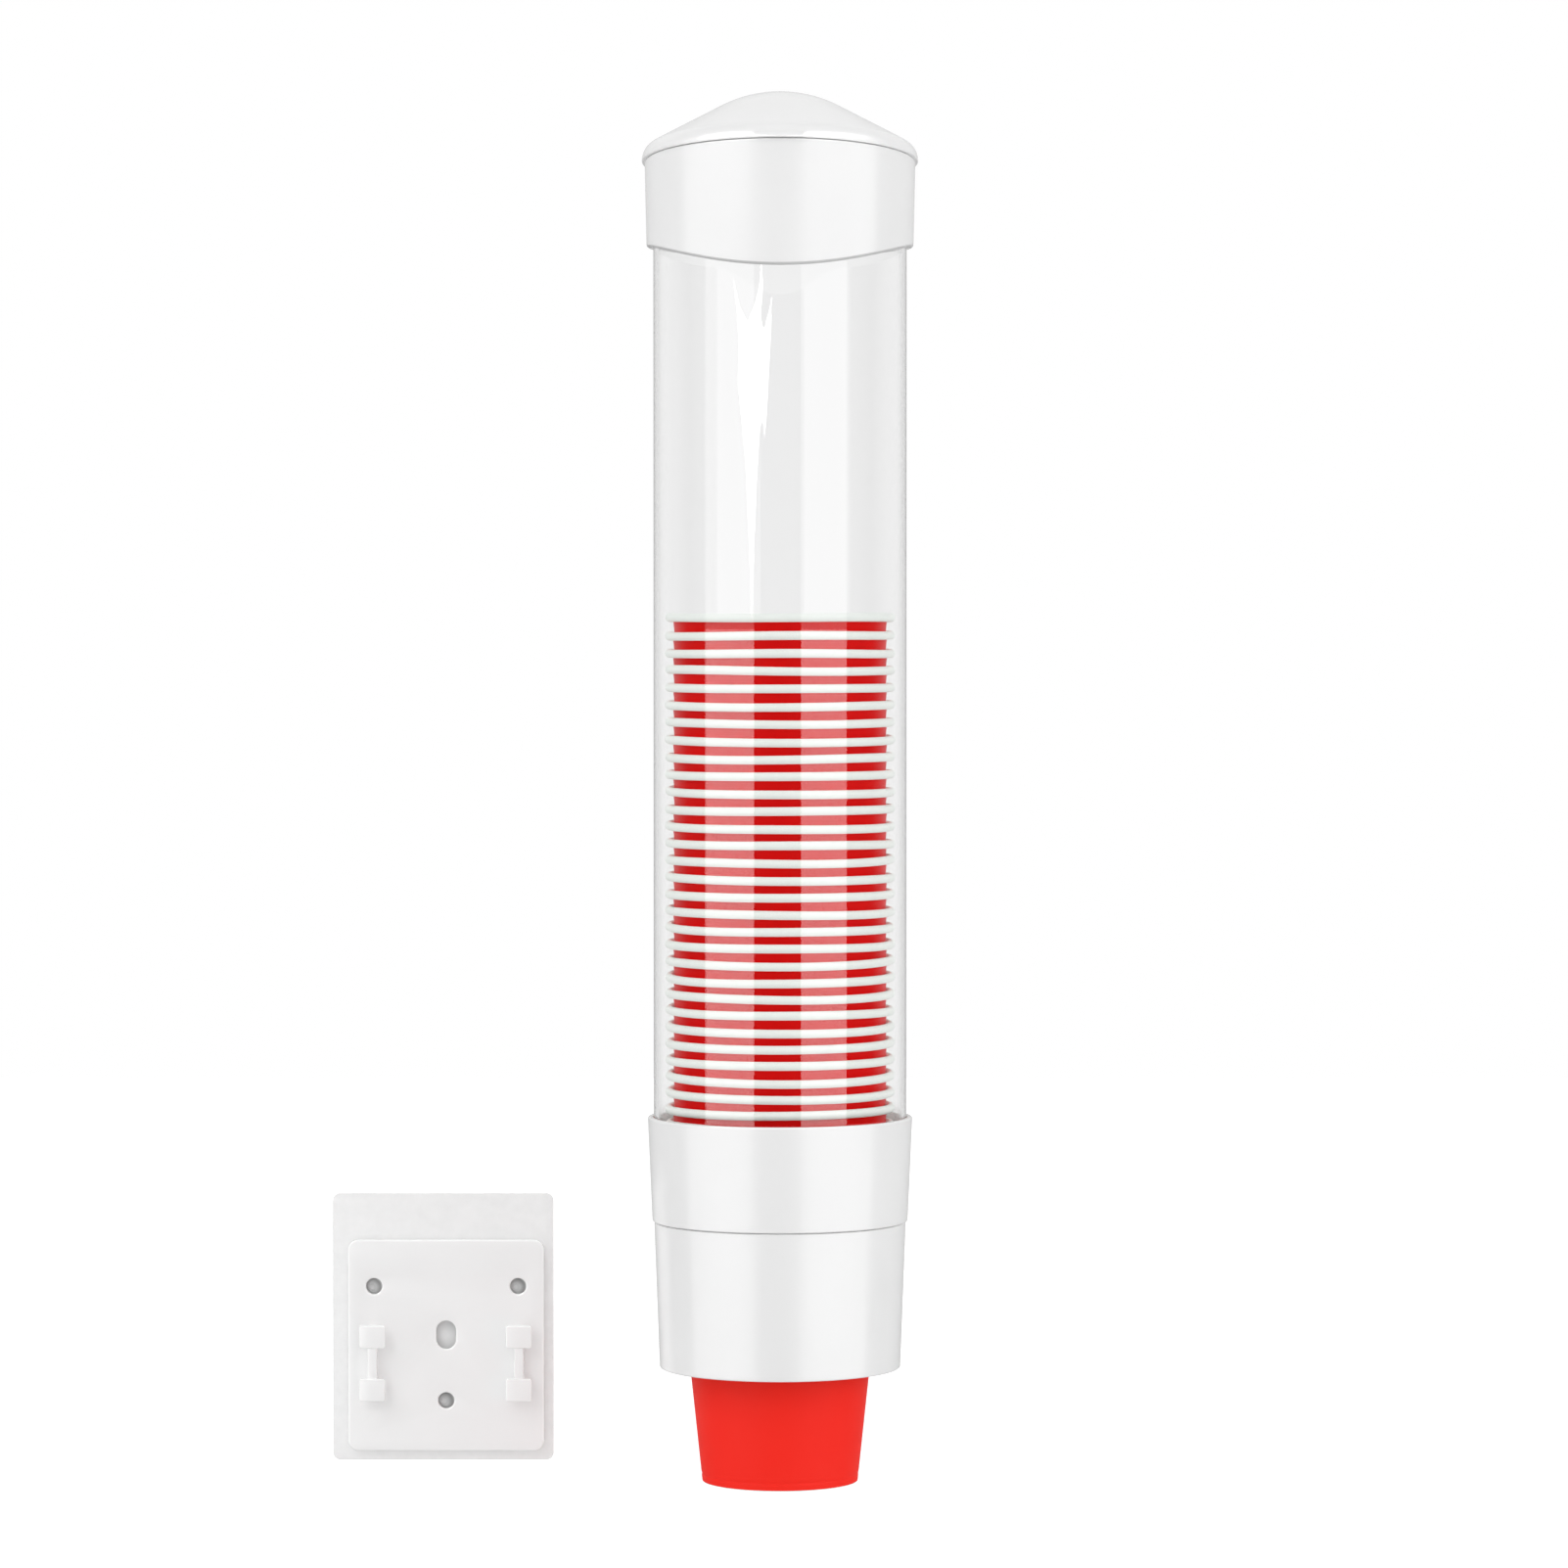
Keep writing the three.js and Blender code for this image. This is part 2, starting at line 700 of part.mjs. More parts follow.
function hook(x) {
  const [low, high] = [hookLevel, hookLevel + hookRise];
  const face = -neckHeight - headThickness;
  const head = (level) => block(
    [x - headWidth / 2, face, level - headHeight / 2],
    [x + headWidth / 2, -neckHeight, level + headHeight / 2],
  );
  const web = block(
    [x - webWidth / 2, face + webSink, low - headHeight / 2],
    [x + webWidth / 2, plateThickness / 2, high + headHeight / 2],
  );
  return [web, head(low), head(high)];
}

function wallPlate() {
  const outline = roundedRectangle(plateWidth, plateHeight, plateCorner);
  outline.holes.push(...plateHoles());
  const slab = new THREE.ExtrudeGeometry(outline, {
    depth: plateThickness - 2 * plateBevel,
    bevelThickness: plateBevel,
    bevelSize: plateBevel,
    bevelOffset: -plateBevel,
    bevelSegments: 1,
    curveSegments: 5,
  }).rotateX(Math.PI / 2).translate(0, plateThickness - plateBevel, 0);
  const hooks = [...hook(-hookSpacing / 2), ...hook(hookSpacing / 2)];
  return named('wall_plate', joinTo(slab, hooks), plastic(0xf6f6f6, 0.35));
}

function adhesiveSheet() {
  const outline = roundedRectangle(sheetWidth, sheetHeight, sheetCorner);
  const options = { depth: sheetThickness, bevelEnabled: false, curveSegments: 5 };
  const slab = new THREE.ExtrudeGeometry(outline, options).rotateX(Math.PI / 2);
  const mesh = named('adhesive_sheet', slab, clear(0xf1f1f1, 0.2, 0.7));
  mesh.position.set(-sheetShift, plateThickness + fit + sheetThickness, sheetRaise);
  return mesh;
}

// Assembly
function dispenser() {
  const body = new THREE.Group();
  body.add(lid(), lidHingePin(), topCollar(), tube(), baseRing(), baseShell(), retainerRing());
  body.add(...clawAngles().map((angle, i) => clawSet(angle, i + 1)));
  body.add(hangerBracket());
  body.add(...screwHeights().map((height, i) => hangerScrew(height, i + 1)));
  body.add(cups());
  body.position.set(0, -hangerStandoff, -hangerMiddle);
  return body;
}

function wallSet() {
  const set = new THREE.Group();
  set.add(wallPlate(), adhesiveSheet());
  set.position.set(-plateLeft, 0, -plateDrop - hangerMiddle);
  return set;
}

const group = new THREE.Group();
group.add(dispenser(), wallSet());

export default group;
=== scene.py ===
# %% [markdown]
# # A cup dispenser in cells
#
# A white base hangs on the wall and carries a clear tube full of paper cups. A lid closes the tube, and the
# lowest cup hangs out of the base, ready to be pulled. Beside it is the plate that the base hooks onto. The
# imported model's solids are loaded first and never moved. Every surface below is worked out in millimetres
# about the tube's axis and then set into the frame's metres.

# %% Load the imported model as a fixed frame
import math

import bmesh
import bpy
import numpy as np
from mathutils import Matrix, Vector


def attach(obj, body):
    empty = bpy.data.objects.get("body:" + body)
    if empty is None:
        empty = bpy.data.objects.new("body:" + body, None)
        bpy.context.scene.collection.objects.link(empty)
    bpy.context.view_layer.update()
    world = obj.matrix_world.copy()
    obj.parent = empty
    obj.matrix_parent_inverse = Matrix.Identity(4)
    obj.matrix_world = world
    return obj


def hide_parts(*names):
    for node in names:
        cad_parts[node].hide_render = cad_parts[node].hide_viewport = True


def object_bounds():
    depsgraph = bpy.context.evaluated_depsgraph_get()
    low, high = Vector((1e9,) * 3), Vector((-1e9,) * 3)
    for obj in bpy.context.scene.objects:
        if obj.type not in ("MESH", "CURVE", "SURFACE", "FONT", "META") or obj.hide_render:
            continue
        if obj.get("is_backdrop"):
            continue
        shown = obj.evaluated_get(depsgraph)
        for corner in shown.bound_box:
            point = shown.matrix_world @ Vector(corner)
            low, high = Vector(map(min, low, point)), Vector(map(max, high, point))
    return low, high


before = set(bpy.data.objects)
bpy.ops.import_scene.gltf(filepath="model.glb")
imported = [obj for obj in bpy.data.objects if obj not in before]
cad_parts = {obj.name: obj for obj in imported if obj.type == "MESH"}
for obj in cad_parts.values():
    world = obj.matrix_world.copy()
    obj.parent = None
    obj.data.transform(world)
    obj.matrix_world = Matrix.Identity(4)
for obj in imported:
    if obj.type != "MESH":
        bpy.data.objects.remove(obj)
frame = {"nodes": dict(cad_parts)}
cad_low, cad_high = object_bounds()
nodes, scene = frame["nodes"], bpy.context.scene

# %% Sizes in millimetres, as the solids have them
MM = 0.001
AXIS = np.array([0.0, -60.0, -24.0])  # the tube's axis and the base's bottom edge, in the frame
FRONT = -math.pi / 2

RIM_RADIUS = 37.5
RIM_HEIGHT = 2.9
CUP_HEIGHT = 91.0
CUP_TOP = 34.8
CUP_FOOT = 25.4
CUP_WALL = 0.28
CUP_FLOOR = 4.9
CUP_FLOOR_TOP = 5.2
PITCH = 5.5
CUP_HANG = 37.4
CUPS = 36
TUBE_BORE = 39.8
TUBE_RADIUS = 41.2
TUBE_LOW = 70.35
TUBE_HIGH = 380.0
SEAM = 392.6
TILT = math.radians(-5.9)
print("cup slope:", round((CUP_TOP - CUP_FOOT) / (CUP_HEIGHT - RIM_HEIGHT), 4))

# %% [markdown]
# ## Forms
#
# A surface is a grid of points: rows follow a profile and columns run round or across. One small class
# gathers such grids and puts them into a mesh. Then the points that meet are merged, which closes the poles,
# and the volume and the open edges are printed, so a form that is inside out or torn shows at once.

# %% Gather surfaces into one mesh
class Form:
    """Points, faces and UVs of one piece, in millimetres."""

    def __init__(self):
        self.points, self.faces, self.sizes, self.uvs, self.looks = [], [], [], [], []
        self.count = 0

    def add(self, points, faces, uvs, look):
        """Adds faces, all with the same number of corners, that index the given points."""
        self.points.append(points.reshape(-1, 3))
        self.faces.append(faces.ravel() + self.count)
        self.sizes.append(np.full(len(faces), faces.shape[1]))
        self.uvs.append(uvs.reshape(-1, 2))
        self.looks.append(np.broadcast_to(look, len(faces)))
        self.count += self.points[-1].shape[0]

    def grid(self, points, around=False, along=False, look=0):
        """A quad between every four neighbours. around joins the last column to the first, and along the
        last row to the first. look is the material's number, or one number for each row."""
        rows, columns = points.shape[:2]
        down, across = rows - (not along), columns - (not around)
        r, c = (part.ravel() for part in np.meshgrid(np.arange(down), np.arange(across), indexing="ij"))
        corner_rows = np.stack([r, r, r + 1, r + 1], axis=1)
        corner_columns = np.stack([c, c + 1, c + 1, c], axis=1)
        faces = (corner_rows % rows) * columns + corner_columns % columns
        uvs = np.stack([corner_columns / across, corner_rows / down], axis=2)
        looks = np.asarray(look)[r] if np.ndim(look) else look
        self.add(points, faces, uvs, looks)
        return self

    def cap(self, points, flip=False):
        """One flat face through a ring of points, in their order or the other way round."""
        order = np.arange(len(points))[:: -1 if flip else 1]
        self.add(points, order[None], np.zeros((len(points), 2)), 0)
        return self

    def reshape(self, change):
        """Moves every point that has been gathered so far."""
        self.points = [change(points) for points in self.points]
        return self

    def mesh(self, name, place=AXIS, crease=35):
        """Merges the points that meet and moves the whole into the frame, in metres."""
        points = (np.concatenate(self.points) + place) * MM
        sizes = np.concatenate(self.sizes)
        made = bpy.data.meshes.new(name)
        made.vertices.add(len(points))
        made.vertices.foreach_set("co", points.ravel())
        made.loops.add(int(sizes.sum()))
        made.loops.foreach_set("vertex_index", np.concatenate(self.faces))
        made.polygons.add(len(sizes))
        made.polygons.foreach_set("loop_start", np.cumsum(sizes) - sizes)
        made.polygons.foreach_set("material_index", np.concatenate(self.looks).astype(np.int32))
        made.uv_layers.new(name="surface")
        made.uv_layers[0].uv.foreach_set("vector", np.concatenate(self.uvs).ravel())
        made.update(calc_edges=True)
        return merged(made, crease)


MEETING, SLIVER = 2e-7, 1e-7  # metres: points this close are one, and shorter edges are dropped


def merged(mesh, crease):
    """Joins points that meet, drops what that leaves flat, smooths below the crease angle and measures."""
    work = bmesh.new()
    work.from_mesh(mesh)
    bmesh.ops.remove_doubles(work, verts=work.verts, dist=MEETING)
    bmesh.ops.dissolve_degenerate(work, dist=SLIVER, edges=work.edges)
    open_edges = sum(len(edge.link_faces) != 2 for edge in work.edges)
    volume = work.calc_volume(signed=True) * 1e6
    work.to_mesh(mesh)
    work.free()
    mesh.polygons.foreach_set("use_smooth", np.ones(len(mesh.polygons), bool))
    mesh.set_sharp_from_angle(angle=math.radians(crease))
    print(f"{mesh.name}: {len(mesh.polygons)} faces, {volume:.2f} cm3, {open_edges} open edges")
    return mesh


# %% Make a mesh a piece of the object
def placed(name, data):
    """A new object at the origin that carries the data."""
    made = bpy.data.objects.new(name, data)
    scene.collection.objects.link(made)
    return made


def piece(mesh, body, slot, finishes, *replaced):
    """An object that carries the mesh, rides on the body and stands for the replaced nodes."""
    made = placed(mesh.name, mesh)
    for finish in finishes:
        mesh.materials.append(finish)
    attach(made, body)
    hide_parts(*replaced)
    return made


# %% Profiles with rounded corners
ARC_STEP = math.radians(15)
SUPPORT_SHARE = 0.25  # of the radius: points this far past each arc keep the smooth shading inside it


def rounded(corners):
    """A closed outline of (across, up, radius) corners, counterclockwise. A corner with a radius becomes the
    arc that touches both sides: it starts and ends at radius / tan(half the inside angle) from the corner."""
    places = np.array([corner[:2] for corner in corners], float)
    outline = []
    for i, (place, corner) in enumerate(zip(places, corners)):
        radius = corner[2] if len(corner) > 2 else 0
        if not radius:
            outline.append(place[None])
            continue
        back = places[i - 1] - place
        ahead = places[(i + 1) % len(places)] - place
        back, ahead = back / np.hypot(*back), ahead / np.hypot(*ahead)
        half = math.acos(np.clip(back @ ahead, -1, 1)) / 2
        turn = math.pi - 2 * half
        reach = radius / math.tan(half)
        middle = place + (back + ahead) / np.hypot(*(back + ahead)) * radius / math.sin(half)
        start, end = place + back * reach - middle, place + ahead * reach - middle
        share = np.linspace(0, 1, max(2, math.ceil(turn / ARC_STEP)) + 1)[:, None]
        bend = middle + (np.sin((1 - share) * turn) * start + np.sin(share * turn) * end) / math.sin(turn)
        support = SUPPORT_SHARE * radius
        outline += [(middle + start + back * support)[None], bend, (middle + end + ahead * support)[None]]
    return np.concatenate(outline)


def arc(middle, radius, start, end, steps):
    """Points at radius * (cos, sin) of angles between start and end, in degrees, about the middle."""
    angle = np.radians(np.linspace(start, end, steps + 1))
    return np.stack([middle[0] + radius * np.cos(angle), middle[1] + radius * np.sin(angle)], axis=1)


# %% Turn a profile about the tube's axis
MOULDED_COLUMNS = 160  # round the base and the collar
CLOSE_COLUMNS = 192  # round the tube and the lid


def angles(columns, extra=()):
    """Evenly spread angles, with more at chosen places, counterclockwise from +X."""
    spread = np.linspace(0, 2 * math.pi, columns, endpoint=False)
    return np.unique(np.round(np.concatenate([spread, np.mod(extra, 2 * math.pi)]), 6))


def soft_step(distance, blur):
    """1 well below a distance of 0 and 0 well above it: 1 / (1 + e^(distance / blur))."""
    return 1 / (1 + np.exp(distance / blur))


def turned(profile, angle):
    """A point (radius, height) of the profile goes to (radius cos a, radius sin a, height) at angle a."""
    radius, height = profile[:, 0, None], profile[:, 1, None]
    return np.stack([radius * np.cos(angle), radius * np.sin(angle), height + 0 * angle], axis=2)


# %% Extrude an outline with rounded edges
EDGE_TURNS = np.radians([0, 30, 60, 90])


def inset(outline, distance):
    """Every point of a counterclockwise outline moves inwards along the mean of its two sides' normals."""
    ahead = np.roll(outline, -1, axis=0) - outline
    behind = outline - np.roll(outline, 1, axis=0)
    ahead /= np.hypot(*ahead.T)[:, None]
    behind /= np.hypot(*behind.T)[:, None]
    normal = np.stack([-(ahead + behind)[:, 1], (ahead + behind)[:, 0]], axis=1)
    normal /= np.hypot(*normal.T)[:, None]
    lean = np.clip((normal * np.stack([-ahead[:, 1], ahead[:, 0]], axis=1)).sum(axis=1), 0.5, 1)
    return outline + normal * (distance / lean)[:, None]


def prism(form, outline, low, high, edge, axes):
    """The outline runs from low to high along the third of the axes. Towards both ends it draws in by
    edge * (1 - sin t) while it goes edge * (1 - cos t) deep, for t from 0 to a right angle."""
    draw = edge * (1 - np.sin(EDGE_TURNS))
    deep = edge * (1 - np.cos(EDGE_TURNS))
    heights = np.concatenate([low + deep, high - deep[::-1]])
    insets = np.concatenate([draw, draw[::-1]])
    layers = np.stack([inset(outline, i) if i else outline for i in insets])
    points = np.empty((*layers.shape[:2], 3))
    points[:, :, axes[0]], points[:, :, axes[1]] = layers[:, :, 0], layers[:, :, 1]
    points[:, :, axes[2]] = heights[:, None]
    if axes not in ((0, 1, 2), (1, 2, 0), (2, 0, 1)):  # left-handed
        points = points[:, ::-1]
    return form.grid(points, around=True).cap(points[0], flip=True).cap(points[-1])


def block_outline(low, high, corner):
    """A rectangle between two corners, with round corners, counterclockwise."""
    (left, bottom), (right, top) = low, high
    places = (left, bottom), (right, bottom), (right, top), (left, top)
    return rounded([(*place, corner) for place in places])


# %% [markdown]
# ## Finishes
#
# A finish is a node tree. A Wire wraps a socket, and adding or multiplying Wires adds Math nodes, so shader
# maths reads like plain maths. What is the same all over is set on the shader's own sockets. Patterns read
# Object coordinates, which are the frame's metres, so a scale of 1000 makes cells of about a millimetre.

# %% Sockets that do maths
def maths(operation, reflected=False):
    """A method that adds a Math node for itself and a number or another Wire, or the other way round."""

    def method(self, other):
        values = (other, self) if reflected else (self, other)
        return self.finish.node("Math", {"operation": operation}, dict(enumerate(values)))

    return method


class Wire:
    """An output socket that can be added to, subtracted, multiplied and compared."""

    def __init__(self, finish, socket):
        self.finish, self.socket = finish, socket

    __add__ = __radd__ = maths("ADD")
    __mul__ = __rmul__ = maths("MULTIPLY")
    __sub__, __rsub__ = maths("SUBTRACT"), maths("SUBTRACT", reflected=True)
    above, larger = maths("GREATER_THAN"), maths("MAXIMUM")


# %% A finish and its nodes
class Finish:
    """One node tree. node() makes any node: its settings come first, then its sockets' values or links."""

    def __init__(self, name, tree=None):
        if tree is None:
            self.material = bpy.data.materials.new(name)
            self.material.use_nodes = True
            tree = self.material.node_tree
        self.tree = tree
        tree.nodes.clear()

    def node(self, kind, settings=None, sockets=None, out=0):
        made = self.tree.nodes.new(f"ShaderNode{kind}")
        settings = dict(settings or {})
        stops = settings.pop("stops", [])
        for key, value in settings.items():
            setattr(made, key, value)
        for i, (place, shade) in enumerate(stops):
            stop = made.color_ramp.elements[i] if i < 2 else made.color_ramp.elements.new(place)
            stop.position, stop.color = place, (shade, shade, shade, 1)
        for key, value in (sockets or {}).items():
            if isinstance(value, Wire):
                self.tree.links.new(value.socket, made.inputs[key])
            else:
                made.inputs[key].default_value = value
        return Wire(self, made.outputs[out] if len(made.outputs) else None)

    def place(self):
        return self.node("TexCoord", out="Object")

    def stretched(self, place, scale):
        return self.node("Mapping", sockets={"Vector": place, "Scale": scale})

    def noise(self, place, scale, detail=2.0, rough=0.5):
        sockets = {"Vector": place, "Scale": scale, "Detail": detail, "Roughness": rough}
        return self.node("TexNoise", sockets=sockets)

    def levels(self, value, *stops):
        """Straight lines between (value, result) stops."""
        return self.node("ValToRGB", {"stops": stops}, {0: value})

    def mix(self, share, first, second):
        """A colour that goes from the first to the second with the share."""
        return self.node("Mix", {"data_type": "RGBA"}, {0: share, 6: first, 7: second}, out=2)

    def bump(self, height, depth, strength):
        """A bump as deep as the depth, in mm, where the height is 1."""
        return self.node("Bump", sockets={"Height": height, "Distance": depth * MM, "Strength": strength})

    def principled(self, **sockets):
        named = {name.replace("_", " "): value for name, value in sockets.items()}
        return self.node("BsdfPrincipled", sockets=named)

    def ray(self, kind):
        """1 for rays of one kind, such as those off gloss."""
        return self.node("LightPath", out=f"Is {kind} Ray")

    def white(self, strength, kind="Emission"):
        """White light of its own."""
        return self.node(kind, sockets={"Color": tone(255), "Strength": strength})

    def faded(self, share, first, second):
        """A surface that goes from the first to the second with the share."""
        return self.node("MixShader", sockets={0: share, 1: first, 2: second})

    def shown(self, surface):
        self.node("OutputMaterial", sockets={"Surface": surface})
        return self.material


def tone(red, green=None, blue=None):
    """A colour written as on a screen, 0 to 255, as the linear colour that a socket takes."""
    screen = np.array([red, red if green is None else green, red if blue is None else blue]) / 255
    linear = np.where(screen <= 0.04045, screen / 12.92, ((screen + 0.055) / 1.055) ** 2.4)
    return (*linear.tolist(), 1.0)


# %% [markdown]
# ### Moulded plastic
#
# The base, the collar and the lid are glossy white plastic. Its colour is even, but its gloss is not: a mould
# leaves a faint orange peel, and handling leaves duller areas. A wide noise gives the colour and the gloss,
# and two small ones the bump. The plate is whiter and glossier. The edge of the collar's foot has a grey line
# of painted shade.

# %% White and grey plastics
def moulded(name, light, dark, gloss, peel, coat=0.0):
    """Plastic between two close tones. gloss is (least, most) roughness, and peel the bump's depth in mm."""
    finish = Finish(name)
    place = finish.place()
    wide = finish.noise(place, scale=22.0, detail=3.0)
    fine = finish.noise(place, scale=420.0)
    grain = finish.noise(place, scale=2600.0, detail=1.0)
    least, most = gloss
    surface = finish.principled(
        Base_Color=finish.mix(finish.levels(wide, (0.3, 0.0), (0.7, 1.0)), dark, light),
        Roughness=wide * (most - least) * 0.6 + grain * (most - least) * 0.4 + least,
        Normal=finish.bump(fine * 0.7 + grain * 0.3, peel, strength=0.6),
        Coat_Weight=coat,
        Coat_Roughness=0.12,
        IOR=1.5,
    )
    return finish.shown(surface)


white_plastic = moulded("white_moulding", tone(246), tone(243), (0.22, 0.3), peel=0.03, coat=0.2)
# painted shade: a grey plastic for the line of shade under the collar's foot
painted_shade_plastic = moulded("painted_shade_foot_edge", tone(206), tone(192), (0.5, 0.6), peel=0.03)
plate_plastic = moulded("plate_moulding", tone(255), tone(252), (0.16, 0.26), peel=0.02, coat=0.3)
inner_plastic = moulded("inner_moulding", tone(228), tone(219), (0.38, 0.5), peel=0.05)
print("plastics:", [m.name for m in (white_plastic, painted_shade_plastic, plate_plastic, inner_plastic)])

# %% [markdown]
# ### Paper
#
# The cups are printed red outside, up to the rolled rim, which shows the white inner side of the sheet.
# Fibres make both sides slightly cloudy, and more so the bare one. The stack's red is painted deeper than
# the hanging cup's, as painted shade, because it is seen through the tube's glare.

# %% Printed and bare paper
def paper(name, light, dark, gloss, fibre):
    """Clouds of close tones, with fibres as a fine bump that is longer along the cup than round it. gloss is
    (least, most) roughness, and fibre the bump's depth in mm."""
    finish = Finish(name)
    place = finish.place()
    cloud = finish.noise(place, scale=90.0, detail=4.0, rough=0.6)
    strand = finish.noise(finish.stretched(place, (1.0, 1.0, 0.35)), scale=1500.0, detail=3.0, rough=0.6)
    least, most = gloss
    surface = finish.principled(
        Base_Color=finish.mix(cloud * 0.7 + strand * 0.3, dark, light),
        Roughness=strand * (most - least) + least,
        Normal=finish.bump(strand, fibre, strength=0.5),
        IOR=1.4,
        Specular_IOR_Level=0.07,
    )
    return finish.shown(surface)


cup_print = paper("printed_paper", tone(255, 50, 39), tone(254, 42, 31), (0.38, 0.5), fibre=0.02)
# the same print painted deeper, as painted shade for the cups inside the tube
shaded_stack_print = paper("stacked_paper_painted_shade", tone(240, 8, 5), tone(228, 4, 2), (0.38, 0.5), fibre=0.02)
cup_paper = paper("bare_paper", tone(252, 255, 251), tone(243, 249, 244), (0.5, 0.65), fibre=0.03)
print("papers:", cup_print.name, shaded_stack_print.name, cup_paper.name)

# %% [markdown]
# ### Clear tube and film
#
# A clear wall bends light twice and mirrors a little on each face. Light that only has to reach the cups
# would get lost in it, so shadows and soft light pass straight through. The film that sticks the plate to the
# wall is thin and cloudy: it lets part of the light by, unevenly, and has a painted shade behind each of the
# plate's holes.

# %% Clear tube
def clear_wall(name):
    """Polished clear plastic, with faint lines along the tube from its drawing. Where the eye meets the wall
    at a low angle it looks through more plastic, so the wall darkens there; the darker tint is also painted
    shade for the tube's dark edges."""
    finish = Finish(name)
    drawn = finish.noise(finish.stretched(finish.place(), (1.0, 1.0, 0.004)), scale=260.0)
    slant = finish.node("LayerWeight", sockets={"Blend": 0.5}, out="Facing")
    glass = finish.principled(
        # darker tint at low angles: partly the longer path through plastic, partly painted shade on the edges
        Base_Color=finish.mix(finish.levels(slant, (0.66, 0.0), (0.86, 1.0)), tone(253), tone(236)),
        Roughness=0.0,
        Normal=finish.bump(drawn, 0.002, strength=0.1),
        IOR=1.46,
        Transmission_Weight=1.0,
    )
    through = finish.node("BsdfTransparent")
    lights = finish.ray("Shadow").larger(finish.ray("Diffuse"))
    return finish.shown(finish.faded(lights, glass, through))


# %% Film with its painted shade behind the plate's holes
PLATE_PLACE = np.array([-112.8, 0.0, -24.8])  # the middle of the plate's front face
HOLES = ((-24.3, 20.0), (24.3, 20.0), (0.0, -18.7))
HOLE_RADIUS = 2.7
SLOT_HALF, SLOT_SHIFT, SLOT_LEVEL = 3.3, 1.45, 3.5
# each painted shade's lighter spot, left of the hole's middle and below it, then its radius and its depth
PAINTED_SHADES = [(x - 0.9, z - 0.6, HOLE_RADIUS, 0.8) for x, z in HOLES]
PAINTED_SHADES.append((-0.5, SLOT_LEVEL - 0.3, SLOT_HALF + SLOT_SHIFT, 0.45))


def cloudy_film(name):
    """A film whose cloudiness changes in soft patches. Behind each hole a shade is painted: the colour goes
    towards dark grey and the film grows opaque, by 0.35 of the depth at a fifth of the radius from the
    lighter spot, by all of it at 1.1 radii, and not at all at 1.5."""
    finish = Finish(name)
    place = finish.place()
    patch = finish.noise(place, scale=70.0, detail=4.0, rough=0.6)
    fine = finish.noise(place, scale=900.0)
    upright = finish.node("VectorMath", {"operation": "MULTIPLY"}, {0: place, 1: (1, 0, 1)})
    # painted shade behind the holes: it darkens the colour towards tone 110 and makes the film opaque there
    shade = 0.0
    for x, z, radius, depth in PAINTED_SHADES:
        spot = tuple((PLATE_PLACE + (x, 0, z)) * MM)
        away = finish.node("VectorMath", {"operation": "DISTANCE"}, {0: upright, 1: spot}, out="Value")
        radii = away * (0.5 / (radius * MM))
        deeper = finish.levels(radii, (0.1, 0.35 * depth), (0.55, depth), (0.75, 0.0))
        shade = deeper.larger(shade)
    light = finish.mix(patch, tone(249), tone(254))
    surface = finish.principled(
        Base_Color=finish.mix(shade, light, tone(110)),
        Roughness=patch * 0.15 + 0.25,
        Alpha=finish.levels(patch, (0.35, 0.7), (0.65, 0.78)).larger(shade * 2),
        Normal=finish.bump(fine * 0.4 + patch, 0.03, strength=0.5),
        IOR=1.46,
    )
    return finish.shown(surface)


clear_tube = clear_wall("polished_tube")
adhesive_film = cloudy_film("cloudy_glue_film")
print("see-through:", clear_tube.name, adhesive_film.name)

# %% Steel pins, screws and springs
def drawn_steel(name):
    """Bright steel, brushed along the pin and a little darker in places."""
    finish = Finish(name)
    place = finish.place()
    brush = finish.noise(finish.stretched(place, (0.08, 1.0, 1.0)), scale=3000.0, detail=3.0)
    stain = finish.noise(place, scale=300.0, detail=3.0)
    surface = finish.principled(
        Base_Color=finish.mix(stain, tone(176, 178, 181), tone(208, 210, 212)),
        Metallic=1.0,
        Roughness=brush * 0.2 + 0.22,
        Normal=finish.bump(brush, 0.01, strength=0.5),
    )
    return finish.shown(surface)


steel = drawn_steel("drawn_wire")

# %% [markdown]
# ## Cups
#
# A paper cup is a cone whose top is rolled outwards and whose foot is folded round the skirt of a recessed
# floor. Its profile is walked once: along the floor's underside, down inside the skirt, round the fold, up
# the printed wall, round the rolled rim and down the inner wall. The sheet overlaps in a side seam, a small
# step in the radius. Seeded numbers make each cup slightly out of round in its own way.

# %% One cup's profile
SKIRT = 0.9  # three layers of paper at the foot
FOLD = 0.43
CRIMP_LEVEL, CRIMP_DEPTH, CRIMP_WIDTH = 2.7, 0.16, 0.4
ROLL_STEP = 0.6  # the seam shows less in the rim
ROLL = 1.4  # the rolled rim's radius
ROLL_START, ROLL_END = 218, 515  # degrees, from the wall's outside round to its inside
UNDERSIDE = np.array([[0, 0], [7, 0], [14, 0], [20, 0], [23.6, 0], [24.6, -0.12], [24.95, -0.5]])
FLOOR_FACE = np.array([[25.3, 0], [20, 0], [10, 0], [0, 0]])
SKIRT_LEVELS = np.array([3.6, 2.4, 1.2])
OUTER_LEVELS = np.array([
    0.9, 1.5, 2.0, 2.35, 2.7, 3.05, 3.4, 4.2, 5.2, 6.4, 9, 14, 22, 32, 44, 56, 68, 78, 84, 87, 88.2,
])
INNER_LEVELS = np.array([88.6, 86, 80, 70, 58, 44, 30, 18, 10, 6.6, 5.75])
PRINTED, BARE = 0, 1


def cup_wall(height):
    """The outer radius grows evenly from the foot to just under the rim."""
    return CUP_FOOT + (CUP_TOP - CUP_FOOT) / (CUP_HEIGHT - RIM_HEIGHT) * np.asarray(height, float)


def up_wall(levels, inwards):
    """(radius, height) at levels of the wall, a distance inside its outer face."""
    return np.stack([cup_wall(levels) - inwards, levels], axis=1)


